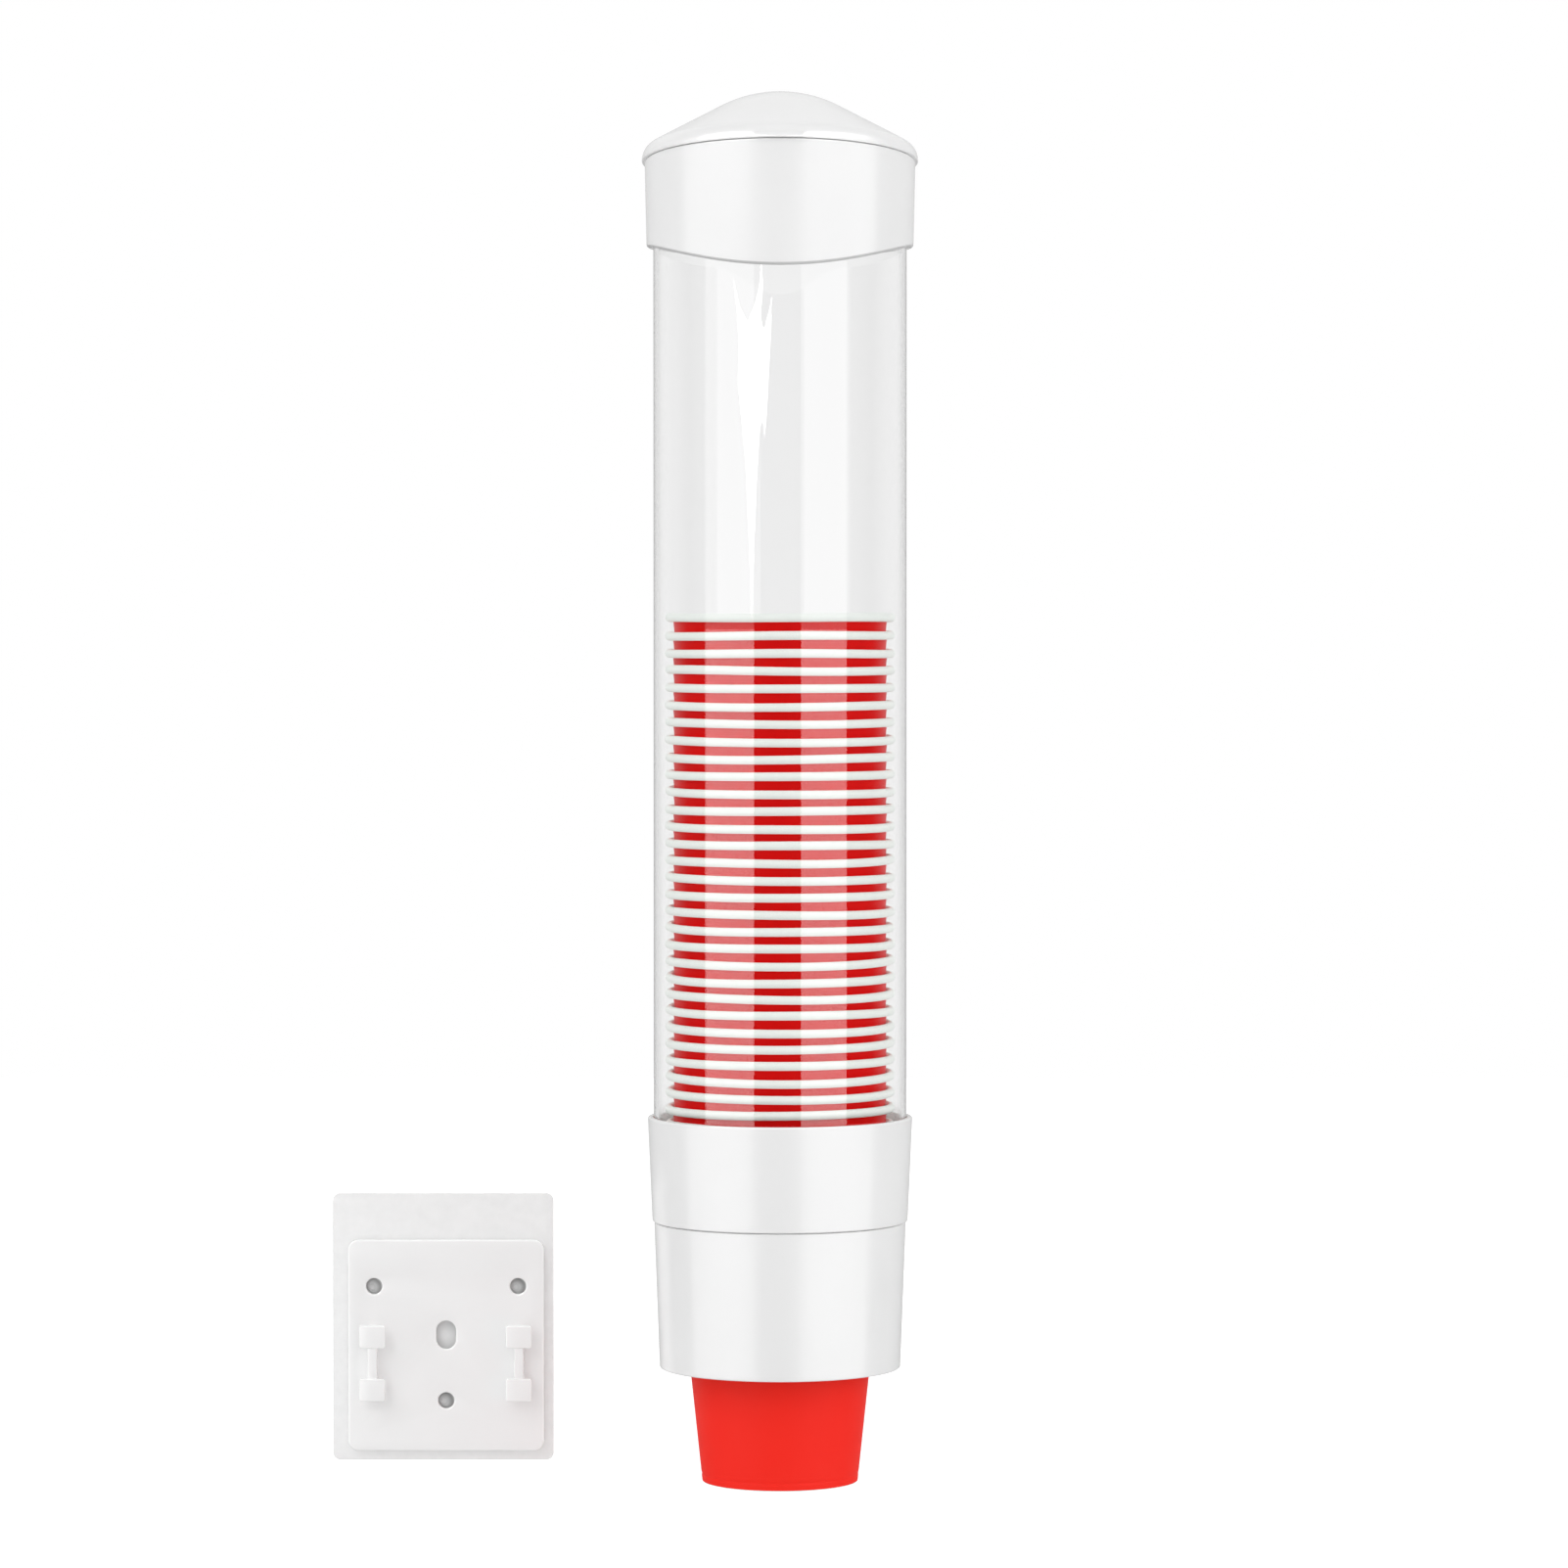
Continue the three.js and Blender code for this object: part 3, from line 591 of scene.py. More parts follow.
def cup_profile():
    """(radius, height) down the whole section, the material of the row of faces after each point, and the
    point's share of the seam's step. The crimp is a groove of depth e^-((height - level) / width)^2."""
    under = UNDERSIDE + [0, CUP_FLOOR]
    skirt = up_wall(SKIRT_LEVELS, SKIRT)
    fold = arc((cup_wall(FOLD) - FOLD, FOLD), FOLD, 180, 350, 6)
    crimp = CRIMP_DEPTH * np.exp(-(((OUTER_LEVELS - CRIMP_LEVEL) / CRIMP_WIDTH) ** 2))
    outside = up_wall(OUTER_LEVELS, crimp)
    roll = arc((RIM_RADIUS - ROLL, CUP_HEIGHT - ROLL), ROLL, ROLL_START, ROLL_END, 16)
    inside = up_wall(INNER_LEVELS, CUP_WALL)
    floor = FLOOR_FACE + [0, CUP_FLOOR_TOP]
    profile = np.concatenate([under, skirt, fold, outside, roll, inside, floor])
    wall = len(under) + len(skirt) + len(fold)
    rim = wall + len(outside)
    look = np.full(len(profile), BARE)
    look[wall - 1 : rim - 1] = PRINTED
    step = np.zeros(len(profile))
    step[wall:rim] = 1
    step[rim : rim + len(roll)] = ROLL_STEP
    return profile, look, step


profile, cup_look, seam_share = cup_profile()
print("cup profile:", len(profile), "points, widest", profile[:, 0].max(), "highest", profile[:, 1].max())

# %% One cup's surface
SEAM_WIDTH = 7.0
SEAM_STEP = 0.16
SEAM_BLUR = 0.02  # in radians
HIDDEN_CUPS = 5
SETTLE = 1.8  # the stack's own weight presses its lower half closer together
RIM_WAVE_SHARES = 2.4, 1.2  # of the wobble, in the rim's height, twice and three times round
LEAN_SHARE = 3.2
SHAPE_SEED = 700


def cup_points(number, columns, wobble, turn):
    """The turned profile, plus an oval and a three-lobed wave that grow with the height squared, a lean and a
    wave in the rim's height, and a side seam, where the radius steps out within half its width."""
    rng = np.random.default_rng(SHAPE_SEED + number)
    seam_half = SEAM_WIDTH / 2 / CUP_TOP
    sides = turn + np.array([-seam_half, seam_half])
    angle = angles(columns, (sides[:, None] + SEAM_BLUR * np.array([-1, 0, 1])).ravel())
    from_seam = np.abs(np.angle(np.exp(1j * (angle - turn))))
    seam = SEAM_STEP * soft_step(from_seam - seam_half, SEAM_BLUR / 3)
    radius, height = profile[:, 0, None], profile[:, 1, None]
    up = np.clip(height / CUP_HEIGHT, 0, 1) ** 2
    phase = rng.uniform(0, 2 * math.pi, 5)
    size = wobble * rng.uniform(0.3, 1.0, 5)
    oval = size[0] * np.cos(2 * angle + phase[0]) + 0.5 * size[1] * np.cos(3 * angle + phase[1])
    wide = radius + (up * oval + seam_share[:, None] * seam) * (radius > CUP_FOOT / 2)
    twice, thrice = (
        share * size[times] * np.cos(times * angle + phase[times])
        for share, times in zip(RIM_WAVE_SHARES, (2, 3))
    )
    lean = LEAN_SHARE * size[4] * np.cos(angle - phase[4]) * radius / RIM_RADIUS
    raised = height + up**6 * (twice + thrice) + up * lean
    return np.stack([wide * np.cos(angle), wide * np.sin(angle), raised], axis=2)


def cup(number, body, columns, wobble, turn):
    """Cup i stands i pitches above the hanging one, less settle * sin(pi * its share of the stack)."""
    form = Form().grid(cup_points(number, columns, wobble, turn), around=True, look=cup_look)
    share = max(0, number - HIDDEN_CUPS) / (CUPS - 1 - HIDDEN_CUPS)
    level = AXIS + [0, 0, number * PITCH - CUP_HANG - SETTLE * math.sin(math.pi * share)]
    name = f"cup_{number + 1:02d}"
    mesh = form.mesh(f"paper_{name}", level, crease=60)
    # the stack takes the print with painted shade, the hanging cup the plain print
    return piece(mesh, body, "cup_paper", [shaded_stack_print if number else cup_print, cup_paper], name)


# %% The hanging cup and the stack
SEAM_LEAST, SEAM_MOST = 25, 155  # degrees: the stack's seams face the wall
cup(0, "hanging_cup", columns=176, wobble=0.04, turn=math.radians(118))
for number in range(1, CUPS):
    seam_turn = math.radians(np.random.default_rng(number).uniform(SEAM_LEAST, SEAM_MOST))
    cup(number, "cup_stack", columns=96, wobble=0.1, turn=seam_turn)

# %% [markdown]
# ## Tube
#
# A straight clear tube needs a closed wall with two faces, because the light bends at both.

# %% The clear wall
wall = block_outline((TUBE_BORE, TUBE_LOW), (TUBE_RADIUS, TUBE_HIGH), corner=0.3)
tube = Form().grid(turned(wall, angles(CLOSE_COLUMNS)), around=True, along=True).mesh("clear_tube_wall")
piece(tube, "dispenser", "clear_tube", [clear_tube], "tube")

# %% [markdown]
# ## Base
#
# The base is a ring, in whose top the tube stands, and a shell with a lip that snaps into the ring. Both are
# turned from profiles with rounded corners: a moulded edge always has a small radius, which catches the light
# along their seam.

# %% Ring
RING_BORE, RING_FOOT, RING_HEAD = 40.5, 41.7, 43.2
RING_LOW, RING_TOP = 48.0, 82.05
SOCKET, SOCKET_LOW = 41.5, 70.05
GROOVE, GROOVE_LOW, GROOVE_TOP = 40.9, 50.7, 52.5
ring_corners = [
    (RING_BORE, RING_LOW, 0.15), (RING_FOOT, RING_LOW, 0.35), (RING_HEAD, RING_TOP, 0.6),
    (SOCKET, RING_TOP, 0.25), (SOCKET, SOCKET_LOW), (RING_BORE, SOCKET_LOW), (RING_BORE, GROOVE_TOP),
    (GROOVE, GROOVE_TOP), (GROOVE, GROOVE_LOW), (RING_BORE, GROOVE_LOW),
]
base_ring = Form().grid(turned(rounded(ring_corners), angles(MOULDED_COLUMNS)), around=True, along=True)
piece(base_ring.mesh("moulded_base_ring"), "dispenser", "white_plastic", [white_plastic], "base_ring")

# %% Shell with its lip in four parts, and the bosses for the screws
SHELL_BORE, SHELL_FOOT, SHELL_SHOULDER, SHELL_TOP = 37.95, 39.3, 41.1, 47.7
SNAP_BORE, SNAP, SNAP_LOW, SNAP_TOP = 39.1, 40.2, 47.6, 57.0
BEAD, BEAD_LEVEL, BEAD_HALF = 40.6, 51.6, 0.6
NOTCH_HALF = 3.6
BOSS_BORE, BOSS_RADIUS, BOSS_ROOT, BOSS_FACE = 1.65, 3.2, 39.0, 57.3
BOSS_LEVELS = (13.0, 35.0)


def laid(points, level, shift=0.0):
    """From upright to lying towards the wall, at a level."""
    x, y, z = np.moveaxis(points, 2, 0)
    return np.stack([x, z + shift, level - y], axis=2)


shell_corners = [
    (SHELL_BORE, 0.0, 0.3), (SHELL_FOOT, 0.0, 0.6), (SHELL_SHOULDER, SHELL_TOP, 0.35), (SNAP, SHELL_TOP),
    (SNAP, RING_LOW), (SNAP_BORE, RING_LOW), (SNAP_BORE, SHELL_TOP),
]
snap_corners = [
    (SNAP_BORE, SNAP_LOW), (SNAP, SNAP_LOW), (SNAP, BEAD_LEVEL - BEAD_HALF), (BEAD, BEAD_LEVEL, 0.15),
    (SNAP, BEAD_LEVEL + BEAD_HALF), (SNAP, SNAP_TOP, 0.2), (SNAP_BORE, SNAP_TOP, 0.2),
]
shell = Form().grid(turned(rounded(shell_corners), angles(MOULDED_COLUMNS)), around=True, along=True)
notch = math.asin(NOTCH_HALF / SNAP_BORE)
for quarter in range(4):
    start = math.radians(45 + 90 * quarter) + notch
    lip = turned(rounded(snap_corners), np.linspace(start, start + math.pi / 2 - 2 * notch, 30))
    shell.grid(np.swapaxes(lip, 0, 1)[:, ::-1], around=True)
    shell.cap(lip[:, 0]).cap(lip[:, -1], flip=True)
for level in BOSS_LEVELS:
    boss = block_outline((BOSS_BORE, BOSS_ROOT), (BOSS_RADIUS, BOSS_FACE), corner=0.25)
    shell.grid(laid(turned(boss, angles(32)), level), around=True, along=True)
piece(shell.mesh("moulded_base_shell"), "dispenser", "white_plastic", [white_plastic], "base_shell")

# %% [markdown]
# ## Collar and lid
#
# The collar grips the tube's top. Its lower edge dips at the front, and its top slopes up to the front: the
# slope counts fully at the top, the dip fully at the foot, and the bores stay straight. The edge of the foot
# carries a grey finish of painted shade. The lid is a round cap that runs out into a cone and a rounded
# edge. It has a shallow lip for the finger, and a knuckle at the back that turns on the pin between the
# collar's ears.

# %% Collar
COLLAR_LOW, COLLAR_TOP = 364.9, 392.45
COLLAR_FOOT, COLLAR_HEAD, MOUTH = 43.4, 44.0, 42.2
FOOT_ROUND = 1.2
FOOT_EDGE = 0.6  # the foot's edge is painted grey up to this height above the foot, as painted shade
DIP = 8.5
LEDGE_LOW, LEDGE_TOP = 380.3, 381.8
LEDGE_REACH, LEDGE_MARGIN = 42.4, 0.5  # what lies inside them belongs to the ledge
HINGE_Y, HINGE_Z = 47.348, 387.707
BARREL, KNUCKLE_EDGE = 2.4, 0.25
EAR_ROOT, EAR_DROP = 42.7, 0.1
EARS = ((-8.4, -4.4), (4.4, 8.4))
collar_corners = [
    (SOCKET, COLLAR_LOW, 0.3), (COLLAR_FOOT, COLLAR_LOW, FOOT_ROUND), (COLLAR_HEAD, COLLAR_TOP, 0.3),
    (MOUTH, COLLAR_TOP, 0.3), (MOUTH, LEDGE_TOP), (TUBE_BORE, LEDGE_TOP, 0.2), (TUBE_BORE, LEDGE_LOW, 0.2),
    (SOCKET, LEDGE_LOW),
]


def sloped(points):
    """Raises a point by share * y * tan(tilt) and lowers its front half by (1 - share) * dip *
    (y / foot radius)^2, where share is its height between the foot and the top. The ledge stays level."""
    x, y, z = np.moveaxis(points, 2, 0)
    level = (z > LEDGE_LOW - LEDGE_MARGIN) & (z < LEDGE_TOP + LEDGE_MARGIN) & (np.hypot(x, y) < LEDGE_REACH)
    share = (z - COLLAR_LOW) / (COLLAR_TOP - COLLAR_LOW)
    lift = share * y * math.tan(TILT) - (1 - share) * DIP * (np.minimum(y, 0) / COLLAR_FOOT) ** 2
    return np.stack([x, y, z + np.where(level, 0, lift)], axis=2)


collar_profile = rounded(collar_corners)
# the foot's lowest, outermost rows take the grey finish of painted shade
low, far_out = collar_profile[:, 1] < COLLAR_LOW + FOOT_EDGE, collar_profile[:, 0] > COLLAR_FOOT - FOOT_ROUND
collar_points = sloped(turned(collar_profile, angles(MOULDED_COLUMNS)))
collar = Form().grid(collar_points, around=True, along=True, look=(low & far_out) * 1)
ear = np.concatenate([
    [[EAR_ROOT, HINGE_Z - BARREL]], arc((HINGE_Y, HINGE_Z), BARREL, -90, 175, 16),
    [[EAR_ROOT, HINGE_Z - EAR_DROP]],
])
for left, right in EARS:
    prism(collar, ear, left, right, KNUCKLE_EDGE, (1, 2, 0))
collar_finishes = [white_plastic, painted_shade_plastic]
piece(collar.mesh("moulded_top_collar"), "dispenser", "white_plastic", collar_finishes, "top_collar")

# %% Lid
FLANGE = 44.9
EDGE_FOOT = 0.3
EDGE_END = 42.0
CONE = 29
CAP_RADIUS = 42.0
LID_TOP = 22.703
LID_WALL = 1.5
SKIRT_BORE, SKIRT_LEDGE = 40.2, 0.3
SKIRT_OUTLINE = np.array([  # down inside, round the foot, up outside and along the flange's underside
    [40.2, -3.6], [40.35, -3.9], [40.8, -4.0], [41.25, -3.9], [41.4, -3.6], [41.4, -0.1], [41.45, 0.0],
    [43.2, 0.0], [44.5, 0.0], [44.65, 0.01], [44.8, 0.08],
])
LIP_HALF = 8.0
LIP_REACH = 1.0
LIP_TOP = 1.8
LIP_SLANT = 0.3  # the lip stands out less towards its top, per mm
LIP_ROOT, LIP_GROWTH = 43.6, 1.2  # it grows from this radius on, over this distance
LIP_BLUR, LIP_TOP_BLUR = 0.35, 0.12
KNUCKLE_OUT, KNUCKLE_HALF = 47.6, 4.0
ARM_ROOT, ARM_LIFT = 42.9, 0.4


def dome(offset, steps):
    """From the apex outwards: a cap of the cap's radius less the offset, down to where the cone starts."""
    cap = arc((0, LID_TOP - CAP_RADIUS), CAP_RADIUS - offset, 90, 90 - CONE, steps)
    cap[0, 0] = 0
    return cap


def lid_profile():
    """From the inner apex down to the skirt, round the flange and its edge, and up to the outer apex. The
    edge is a parabola between its foot and the cone: (1 - t)^2 foot + 2 t (1 - t) corner + t^2 end."""
    inner, outer = dome(LID_WALL, 14), dome(0, 16)
    slope = math.tan(math.radians(CONE))
    drop = (SKIRT_BORE - inner[-1, 0]) * slope
    corner_in = np.array([SKIRT_BORE, inner[-1, 1] - drop])
    cone_in = inner[-1] + (corner_in - inner[-1]) * np.linspace(0.2, 0.98, 6)[:, None]
    skirt_top = corner_in - [0, SKIRT_LEDGE]
    corner_height = outer[-1, 1] - (FLANGE - outer[-1, 0]) * slope
    foot, corner_out = np.array([FLANGE, EDGE_FOOT]), np.array([FLANGE, corner_height])
    end = np.array([EDGE_END, corner_height + (FLANGE - EDGE_END) * slope])
    t = np.linspace(0, 1, 19)[:, None]
    edge = (1 - t) ** 2 * foot + 2 * t * (1 - t) * corner_out + t**2 * end
    cone_out = edge[-1] + (outer[-1] - edge[-1]) * np.linspace(0.03, 0.97, 9)[:, None]
    return np.concatenate([inner, cone_in, skirt_top[None], SKIRT_OUTLINE, edge, cone_out, outer[::-1]])


def tilted(points):
    """Turned about X by the lid's tilt, about the middle of its seam."""
    x, y, z = points.T
    back = y * math.cos(TILT) - z * math.sin(TILT)
    up = y * math.sin(TILT) + z * math.cos(TILT) + SEAM
    return np.stack([x, back, up], axis=1)


def with_lip(points):
    """Pushes the rim forward by the lip's reach, less its slant times the height, where it is low, far out
    and near the front's middle."""
    x, y, z = np.moveaxis(points, 2, 0)
    far = np.clip((np.hypot(x, y) - LIP_ROOT) / LIP_GROWTH, 0, 1)
    low = soft_step(z - LIP_TOP, LIP_TOP_BLUR)
    middle = (y < 0) * soft_step(np.abs(x) - LIP_HALF, LIP_BLUR)
    points[:, :, 1] -= (LIP_REACH - LIP_SLANT * np.clip(z, 0, LIP_TOP)) * far * low * middle
    return points


lip_edges = FRONT + np.array([[-1], [1]]) * (LIP_HALF + LIP_BLUR * np.linspace(-3, 3, 9)) / FLANGE
lid_points = with_lip(turned(lid_profile(), angles(CLOSE_COLUMNS, lip_edges.ravel())))
lid = Form().grid(lid_points, around=True)
arm = np.concatenate([
    [[ARM_ROOT, ARM_LIFT]], arc((KNUCKLE_OUT, 0), BARREL, 170.4, 450, 22), [[ARM_ROOT, BARREL]],
])
prism(lid, arm, -KNUCKLE_HALF, KNUCKLE_HALF, KNUCKLE_EDGE, (1, 2, 0))
piece(lid.reshape(tilted).mesh("moulded_lid"), "lid", "white_plastic", [white_plastic], "lid")

# %% [markdown]
# ## Hanger
#
# The box on the back of the base has windows and slots for the plate's hooks. Its solid has the right shape,
# so a copy of it gets bevelled edges. Two countersunk screws hold it, each with a cross recess, worked out as
# a depth over the head.

# %% Hanger bracket
SOLID_MEETING = 1e-6  # metres
FLAT_ANGLE, SHARP_ANGLE = math.radians(0.5), math.radians(40)


def softened(node, name, width):
    """A merged copy of a solid, with its sharp edges rounded."""
    work = bmesh.new()
    work.from_mesh(nodes[node].data)
    bmesh.ops.remove_doubles(work, verts=work.verts, dist=SOLID_MEETING)
    bmesh.ops.dissolve_limit(work, angle_limit=FLAT_ANGLE, verts=work.verts, edges=work.edges)
    shared = [edge for edge in work.edges if len(edge.link_faces) == 2]
    bmesh.ops.bevel(
        work, geom=[edge for edge in shared if edge.calc_face_angle() > SHARP_ANGLE], offset=width * MM,
        segments=2, profile=0.5, affect="EDGES", clamp_overlap=True, loop_slide=True, offset_type="OFFSET",
    )
    mesh = bpy.data.meshes.new(name)
    work.to_mesh(mesh)
    work.free()
    return merged(mesh, crease=30)


hanger = softened("hanger_bracket", "moulded_hanger", width=0.3)
piece(hanger, "dispenser", "white_plastic", [white_plastic], "hanger_bracket")

# %% Screws
HEAD_RADIUS, SHANK_RADIUS, SCREW_LENGTH = 2.9, 1.5, 14.0
SCREW_PLACE = 59.8  # the head lies a little deeper than the hanger's rear face
THREAD_PITCH, THREAD_HALF = 1.1, 0.14
POINT = 0.3
RECESS_ARM, RECESS_HALF, RECESS_DEPTH, RECESS_BLUR = 1.7, 0.36, 1.0, 0.05


def recess_arm(along, over):
    """1 inside one arm of the cross and 0 outside."""
    return soft_step(np.maximum(np.abs(along) - RECESS_ARM, np.abs(over) - RECESS_HALF), RECESS_BLUR)


def screw(level, number):
    """A turned screw. Its thread's radius goes up and down by a cosine of the height. The cross is as deep as
    the recess's depth times the deeper of its two arms."""
    head = np.linspace(HEAD_RADIUS - 0.12, 0, 26)
    thread = np.linspace(-SCREW_LENGTH + 1.6, -HEAD_RADIUS + SHANK_RADIUS - 0.2, 60)
    crest = SHANK_RADIUS - THREAD_HALF + THREAD_HALF * np.cos(2 * math.pi * thread / THREAD_PITCH)
    outline = np.concatenate([
        [[0, -SCREW_LENGTH], [POINT, -SCREW_LENGTH + POINT]],
        np.stack([crest, thread], axis=1),
        [[SHANK_RADIUS, SHANK_RADIUS - HEAD_RADIUS], [HEAD_RADIUS, -0.1], [HEAD_RADIUS - 0.04, -0.03]],
        np.stack([head, 0 * head], axis=1),
    ])
    points = turned(outline, angles(72))
    x, y, z = np.moveaxis(points, 2, 0)
    on_head = z > -0.01
    points[:, :, 2] -= RECESS_DEPTH * np.maximum(recess_arm(x, y), recess_arm(y, x)) * on_head
    mesh = Form().grid(laid(points, level, SCREW_PLACE), around=True).mesh(f"steel_hanger_screw_{number}")
    return piece(mesh, "dispenser", "steel", [steel], f"hanger_screw_{number}")


for number, level in enumerate(BOSS_LEVELS, 1):
    screw(level, number)

# %% Hinge pin
PIN_RADIUS, PIN_HALF, PIN_EDGE, PIN_COLUMNS = 1.0, 8.7, 0.25, 40
pin_corners = [
    (0, -PIN_HALF), (PIN_RADIUS, -PIN_HALF, PIN_EDGE), (PIN_RADIUS, PIN_HALF, PIN_EDGE), (0, PIN_HALF),
]
pin = turned(rounded(pin_corners), angles(PIN_COLUMNS))
across = np.stack([pin[:, :, 2], pin[:, :, 0] + HINGE_Y, pin[:, :, 1] + HINGE_Z], axis=2)
pin_mesh = Form().grid(across, around=True).mesh("steel_lid_hinge_pin")
piece(pin_mesh, "dispenser", "steel", [steel], "lid_hinge_pin")

# %% [markdown]
# ## Wall plate
#
# The plate has three screw holes, a slot and two hooks like an I: two raised heads joined by a web. A flat
# curve fills and bevels the shape with its holes, and the hooks' blocks join it. The film behind is larger,
# so its border shows.

# %% Plate with its holes
PLATE_WIDTH, PLATE_HEIGHT, PLATE_THICKNESS, PLATE_CORNER, PLATE_BEVEL = 66.2, 71.5, 2.4, 3.5, 0.6


def read(items, field, kind, width=1):
    """All values of a field as one flat array."""
    values = np.empty(len(items) * width, kind)
    items.foreach_get(field, values)
    return values


def flat_shape(name, outlines, thickness, bevel):
    """A filled flat curve with holes, thickened both ways and bevelled inside its outline, as arrays."""
    flat = bpy.data.curves.new(name, "CURVE")
    flat.dimensions, flat.fill_mode = "2D", "BOTH"
    flat.extrude, flat.bevel_depth, flat.offset = thickness / 2 - bevel, bevel, -bevel
    flat.bevel_resolution = 3
    for outline in outlines:
        line = flat.splines.new("POLY")
        line.points.add(len(outline) - 1)
        line.points.foreach_set("co", np.pad(outline, ((0, 0), (0, 2))).ravel())
        line.use_cyclic_u = True
    holder = placed(name, flat)
    mesh = bpy.data.meshes.new_from_object(holder.evaluated_get(bpy.context.evaluated_depsgraph_get()))
    bpy.data.objects.remove(holder)
    points = read(mesh.vertices, "co", np.float32, 3).reshape(-1, 3)
    return points, read(mesh.polygons, "loop_total", np.int32), read(mesh.loops, "vertex_index", np.int32)


def facing_front(points):
    """From flat, with the thickness up, to upright, with the thickness towards the front."""
    x, y, z = points.T
    return np.stack([x, PLATE_THICKNESS / 2 - z, y], axis=1)


corner = np.array([PLATE_WIDTH, PLATE_HEIGHT]) / 2
border = block_outline(-corner, corner, PLATE_CORNER)
holes = [arc(place, HOLE_RADIUS, 0, 352.5, 47) for place in HOLES]
slot = np.concatenate([
    arc((0, SLOT_LEVEL + SLOT_SHIFT), SLOT_HALF, 0, 180, 20),
    arc((0, SLOT_LEVEL - SLOT_SHIFT), SLOT_HALF, 180, 360, 20),
])
outlines = [border, *holes, slot]
points, sizes, corners = flat_shape("wall_plate_outline", outlines, PLATE_THICKNESS, PLATE_BEVEL)
plate = Form()
starts = np.cumsum(sizes) - sizes
for size in np.unique(sizes):
    faces = corners[starts[sizes == size][:, None] + np.arange(size)]
    plate.add(points, faces, np.zeros((faces.size, 2)), 0)
plate.reshape(facing_front)

# %% Hooks
UPRIGHT = (0, 2, 1)  # outlines across and up, with the thickness along Y
HOOK_SPACING, HOOK_LEVEL, HOOK_RISE = 49.4, -14.65, 17.95
HEAD_HALF, HEAD_CORNER, HEAD_EDGE = np.array([4.3, 3.8]), 0.7, 0.35
HEAD_FACE, HEAD_BACK = -4.5, -2.9
WEB_HALF, WEB_CORNER, WEB_EDGE, WEB_INSET = 1.5, 0.4, 0.25, 0.4
WEB_FACE, WEB_BACK = -4.1, 1.2
for x in (-HOOK_SPACING / 2, HOOK_SPACING / 2):
    low, high = HOOK_LEVEL - HEAD_HALF[1], HOOK_LEVEL + HOOK_RISE + HEAD_HALF[1]
    web = block_outline((x - WEB_HALF, low + WEB_INSET), (x + WEB_HALF, high - WEB_INSET), WEB_CORNER)
    prism(plate, web, WEB_FACE, WEB_BACK, WEB_EDGE, UPRIGHT)
    for level in (HOOK_LEVEL, HOOK_LEVEL + HOOK_RISE):
        head = block_outline((x, level) - HEAD_HALF, (x, level) + HEAD_HALF, HEAD_CORNER)
        prism(plate, head, HEAD_FACE, HEAD_BACK, HEAD_EDGE, UPRIGHT)
plate_mesh = plate.mesh("moulded_wall_plate", PLATE_PLACE)
piece(plate_mesh, "dispenser", "plate_plastic", [plate_plastic], "wall_plate")

# %% Sheet that sticks the plate to the wall
SHEET_LOW, SHEET_HIGH, SHEET_CORNER = (-38.4, -39.2), (36.2, 51.2), 2.5
SHEET_FRONT, SHEET_BACK, SHEET_EDGE = 2.7, 3.5, 0.15
sheet_outline = block_outline(SHEET_LOW, SHEET_HIGH, SHEET_CORNER)
film = prism(Form(), sheet_outline, SHEET_FRONT, SHEET_BACK, SHEET_EDGE, UPRIGHT)
film_mesh = film.mesh("cloudy_adhesive_sheet", PLATE_PLACE)
piece(film_mesh, "dispenser", "adhesive_film", [adhesive_film], "adhesive_sheet")

# %% [markdown]
# ## Inner works
#
# The retainer ring, its four claws, their pins and springs sit inside the base. Their solids have the right
# shape, so they stay and only get their finishes.

# %% Finishes of the solids that stay
for name, node in nodes.items():
    if node.hide_render:
        continue
    finish = steel if name.startswith(("claw_pin", "claw_spring")) else inner_plastic
    node.data.materials.clear()
    node.data.materials.append(finish)
    print("kept solid:", name, "with", finish.name)

# %% [markdown]
# ## Studio
#
# The camera stands 1.85 m in front of the tube's axis and looks down a little. The surroundings light the
# object softly and are white to the camera, also straight through clear plastic. Gloss finds them dark in
# front and bright behind, so the mouldings keep their tones and only their edges turn towards white. The
# floor follows the same rule, so no horizon shows in the tube.

# %% Camera
CAMERA_PLACE = (0.0013, -1.910, 0.220)
CAMERA_PITCH = 1.655  # degrees down
camera_lens = bpy.data.cameras.new("camera")
camera_lens.lens, camera_lens.sensor_width, camera_lens.clip_end = 130.3, 36.0, 100.0
scene.camera = camera = placed("camera", camera_lens)
camera.location = CAMERA_PLACE
camera.rotation_euler = (math.radians(90 - CAMERA_PITCH), 0, 0)
print("camera at", tuple(round(v, 4) for v in camera.location))

# %% White surroundings
SOFT_LIGHT = 0.83
FRONT_GLOSS, BACK_GLOSS = 0.02, 0.96
LEVEL_SHARE, HIGH_SHARE = 0.5, 1.1  # of that, what plain gloss shows, level with it and straight up


def straight_through(finish):
    """1 for rays that came through clear pieces and were never mirrored on their way."""
    mirrors = finish.node("LightPath", out="Glossy Depth")
    return finish.ray("Transmission") * (1 - mirrors.above(0.5))


def mirrored(finish, way):
    """How bright rays off gloss or through glass find a direction. Straight through it is 1. Otherwise it
    rises from the front's value to the back's, times a share that grows with the height off plain gloss."""
    back = finish.node("SeparateXYZ", sockets={"Vector": way}, out="Y")
    up = finish.node("SeparateXYZ", sockets={"Vector": way}, out="Z")
    by_way = finish.levels(back * 0.5 + up * -0.1 + 0.5, (0.55, FRONT_GLOSS), (0.85, BACK_GLOSS))
    share = finish.ray("Transmission").larger(up * (HIGH_SHARE - LEVEL_SHARE) + LEVEL_SHARE)
    return straight_through(finish).larger(by_way * share)


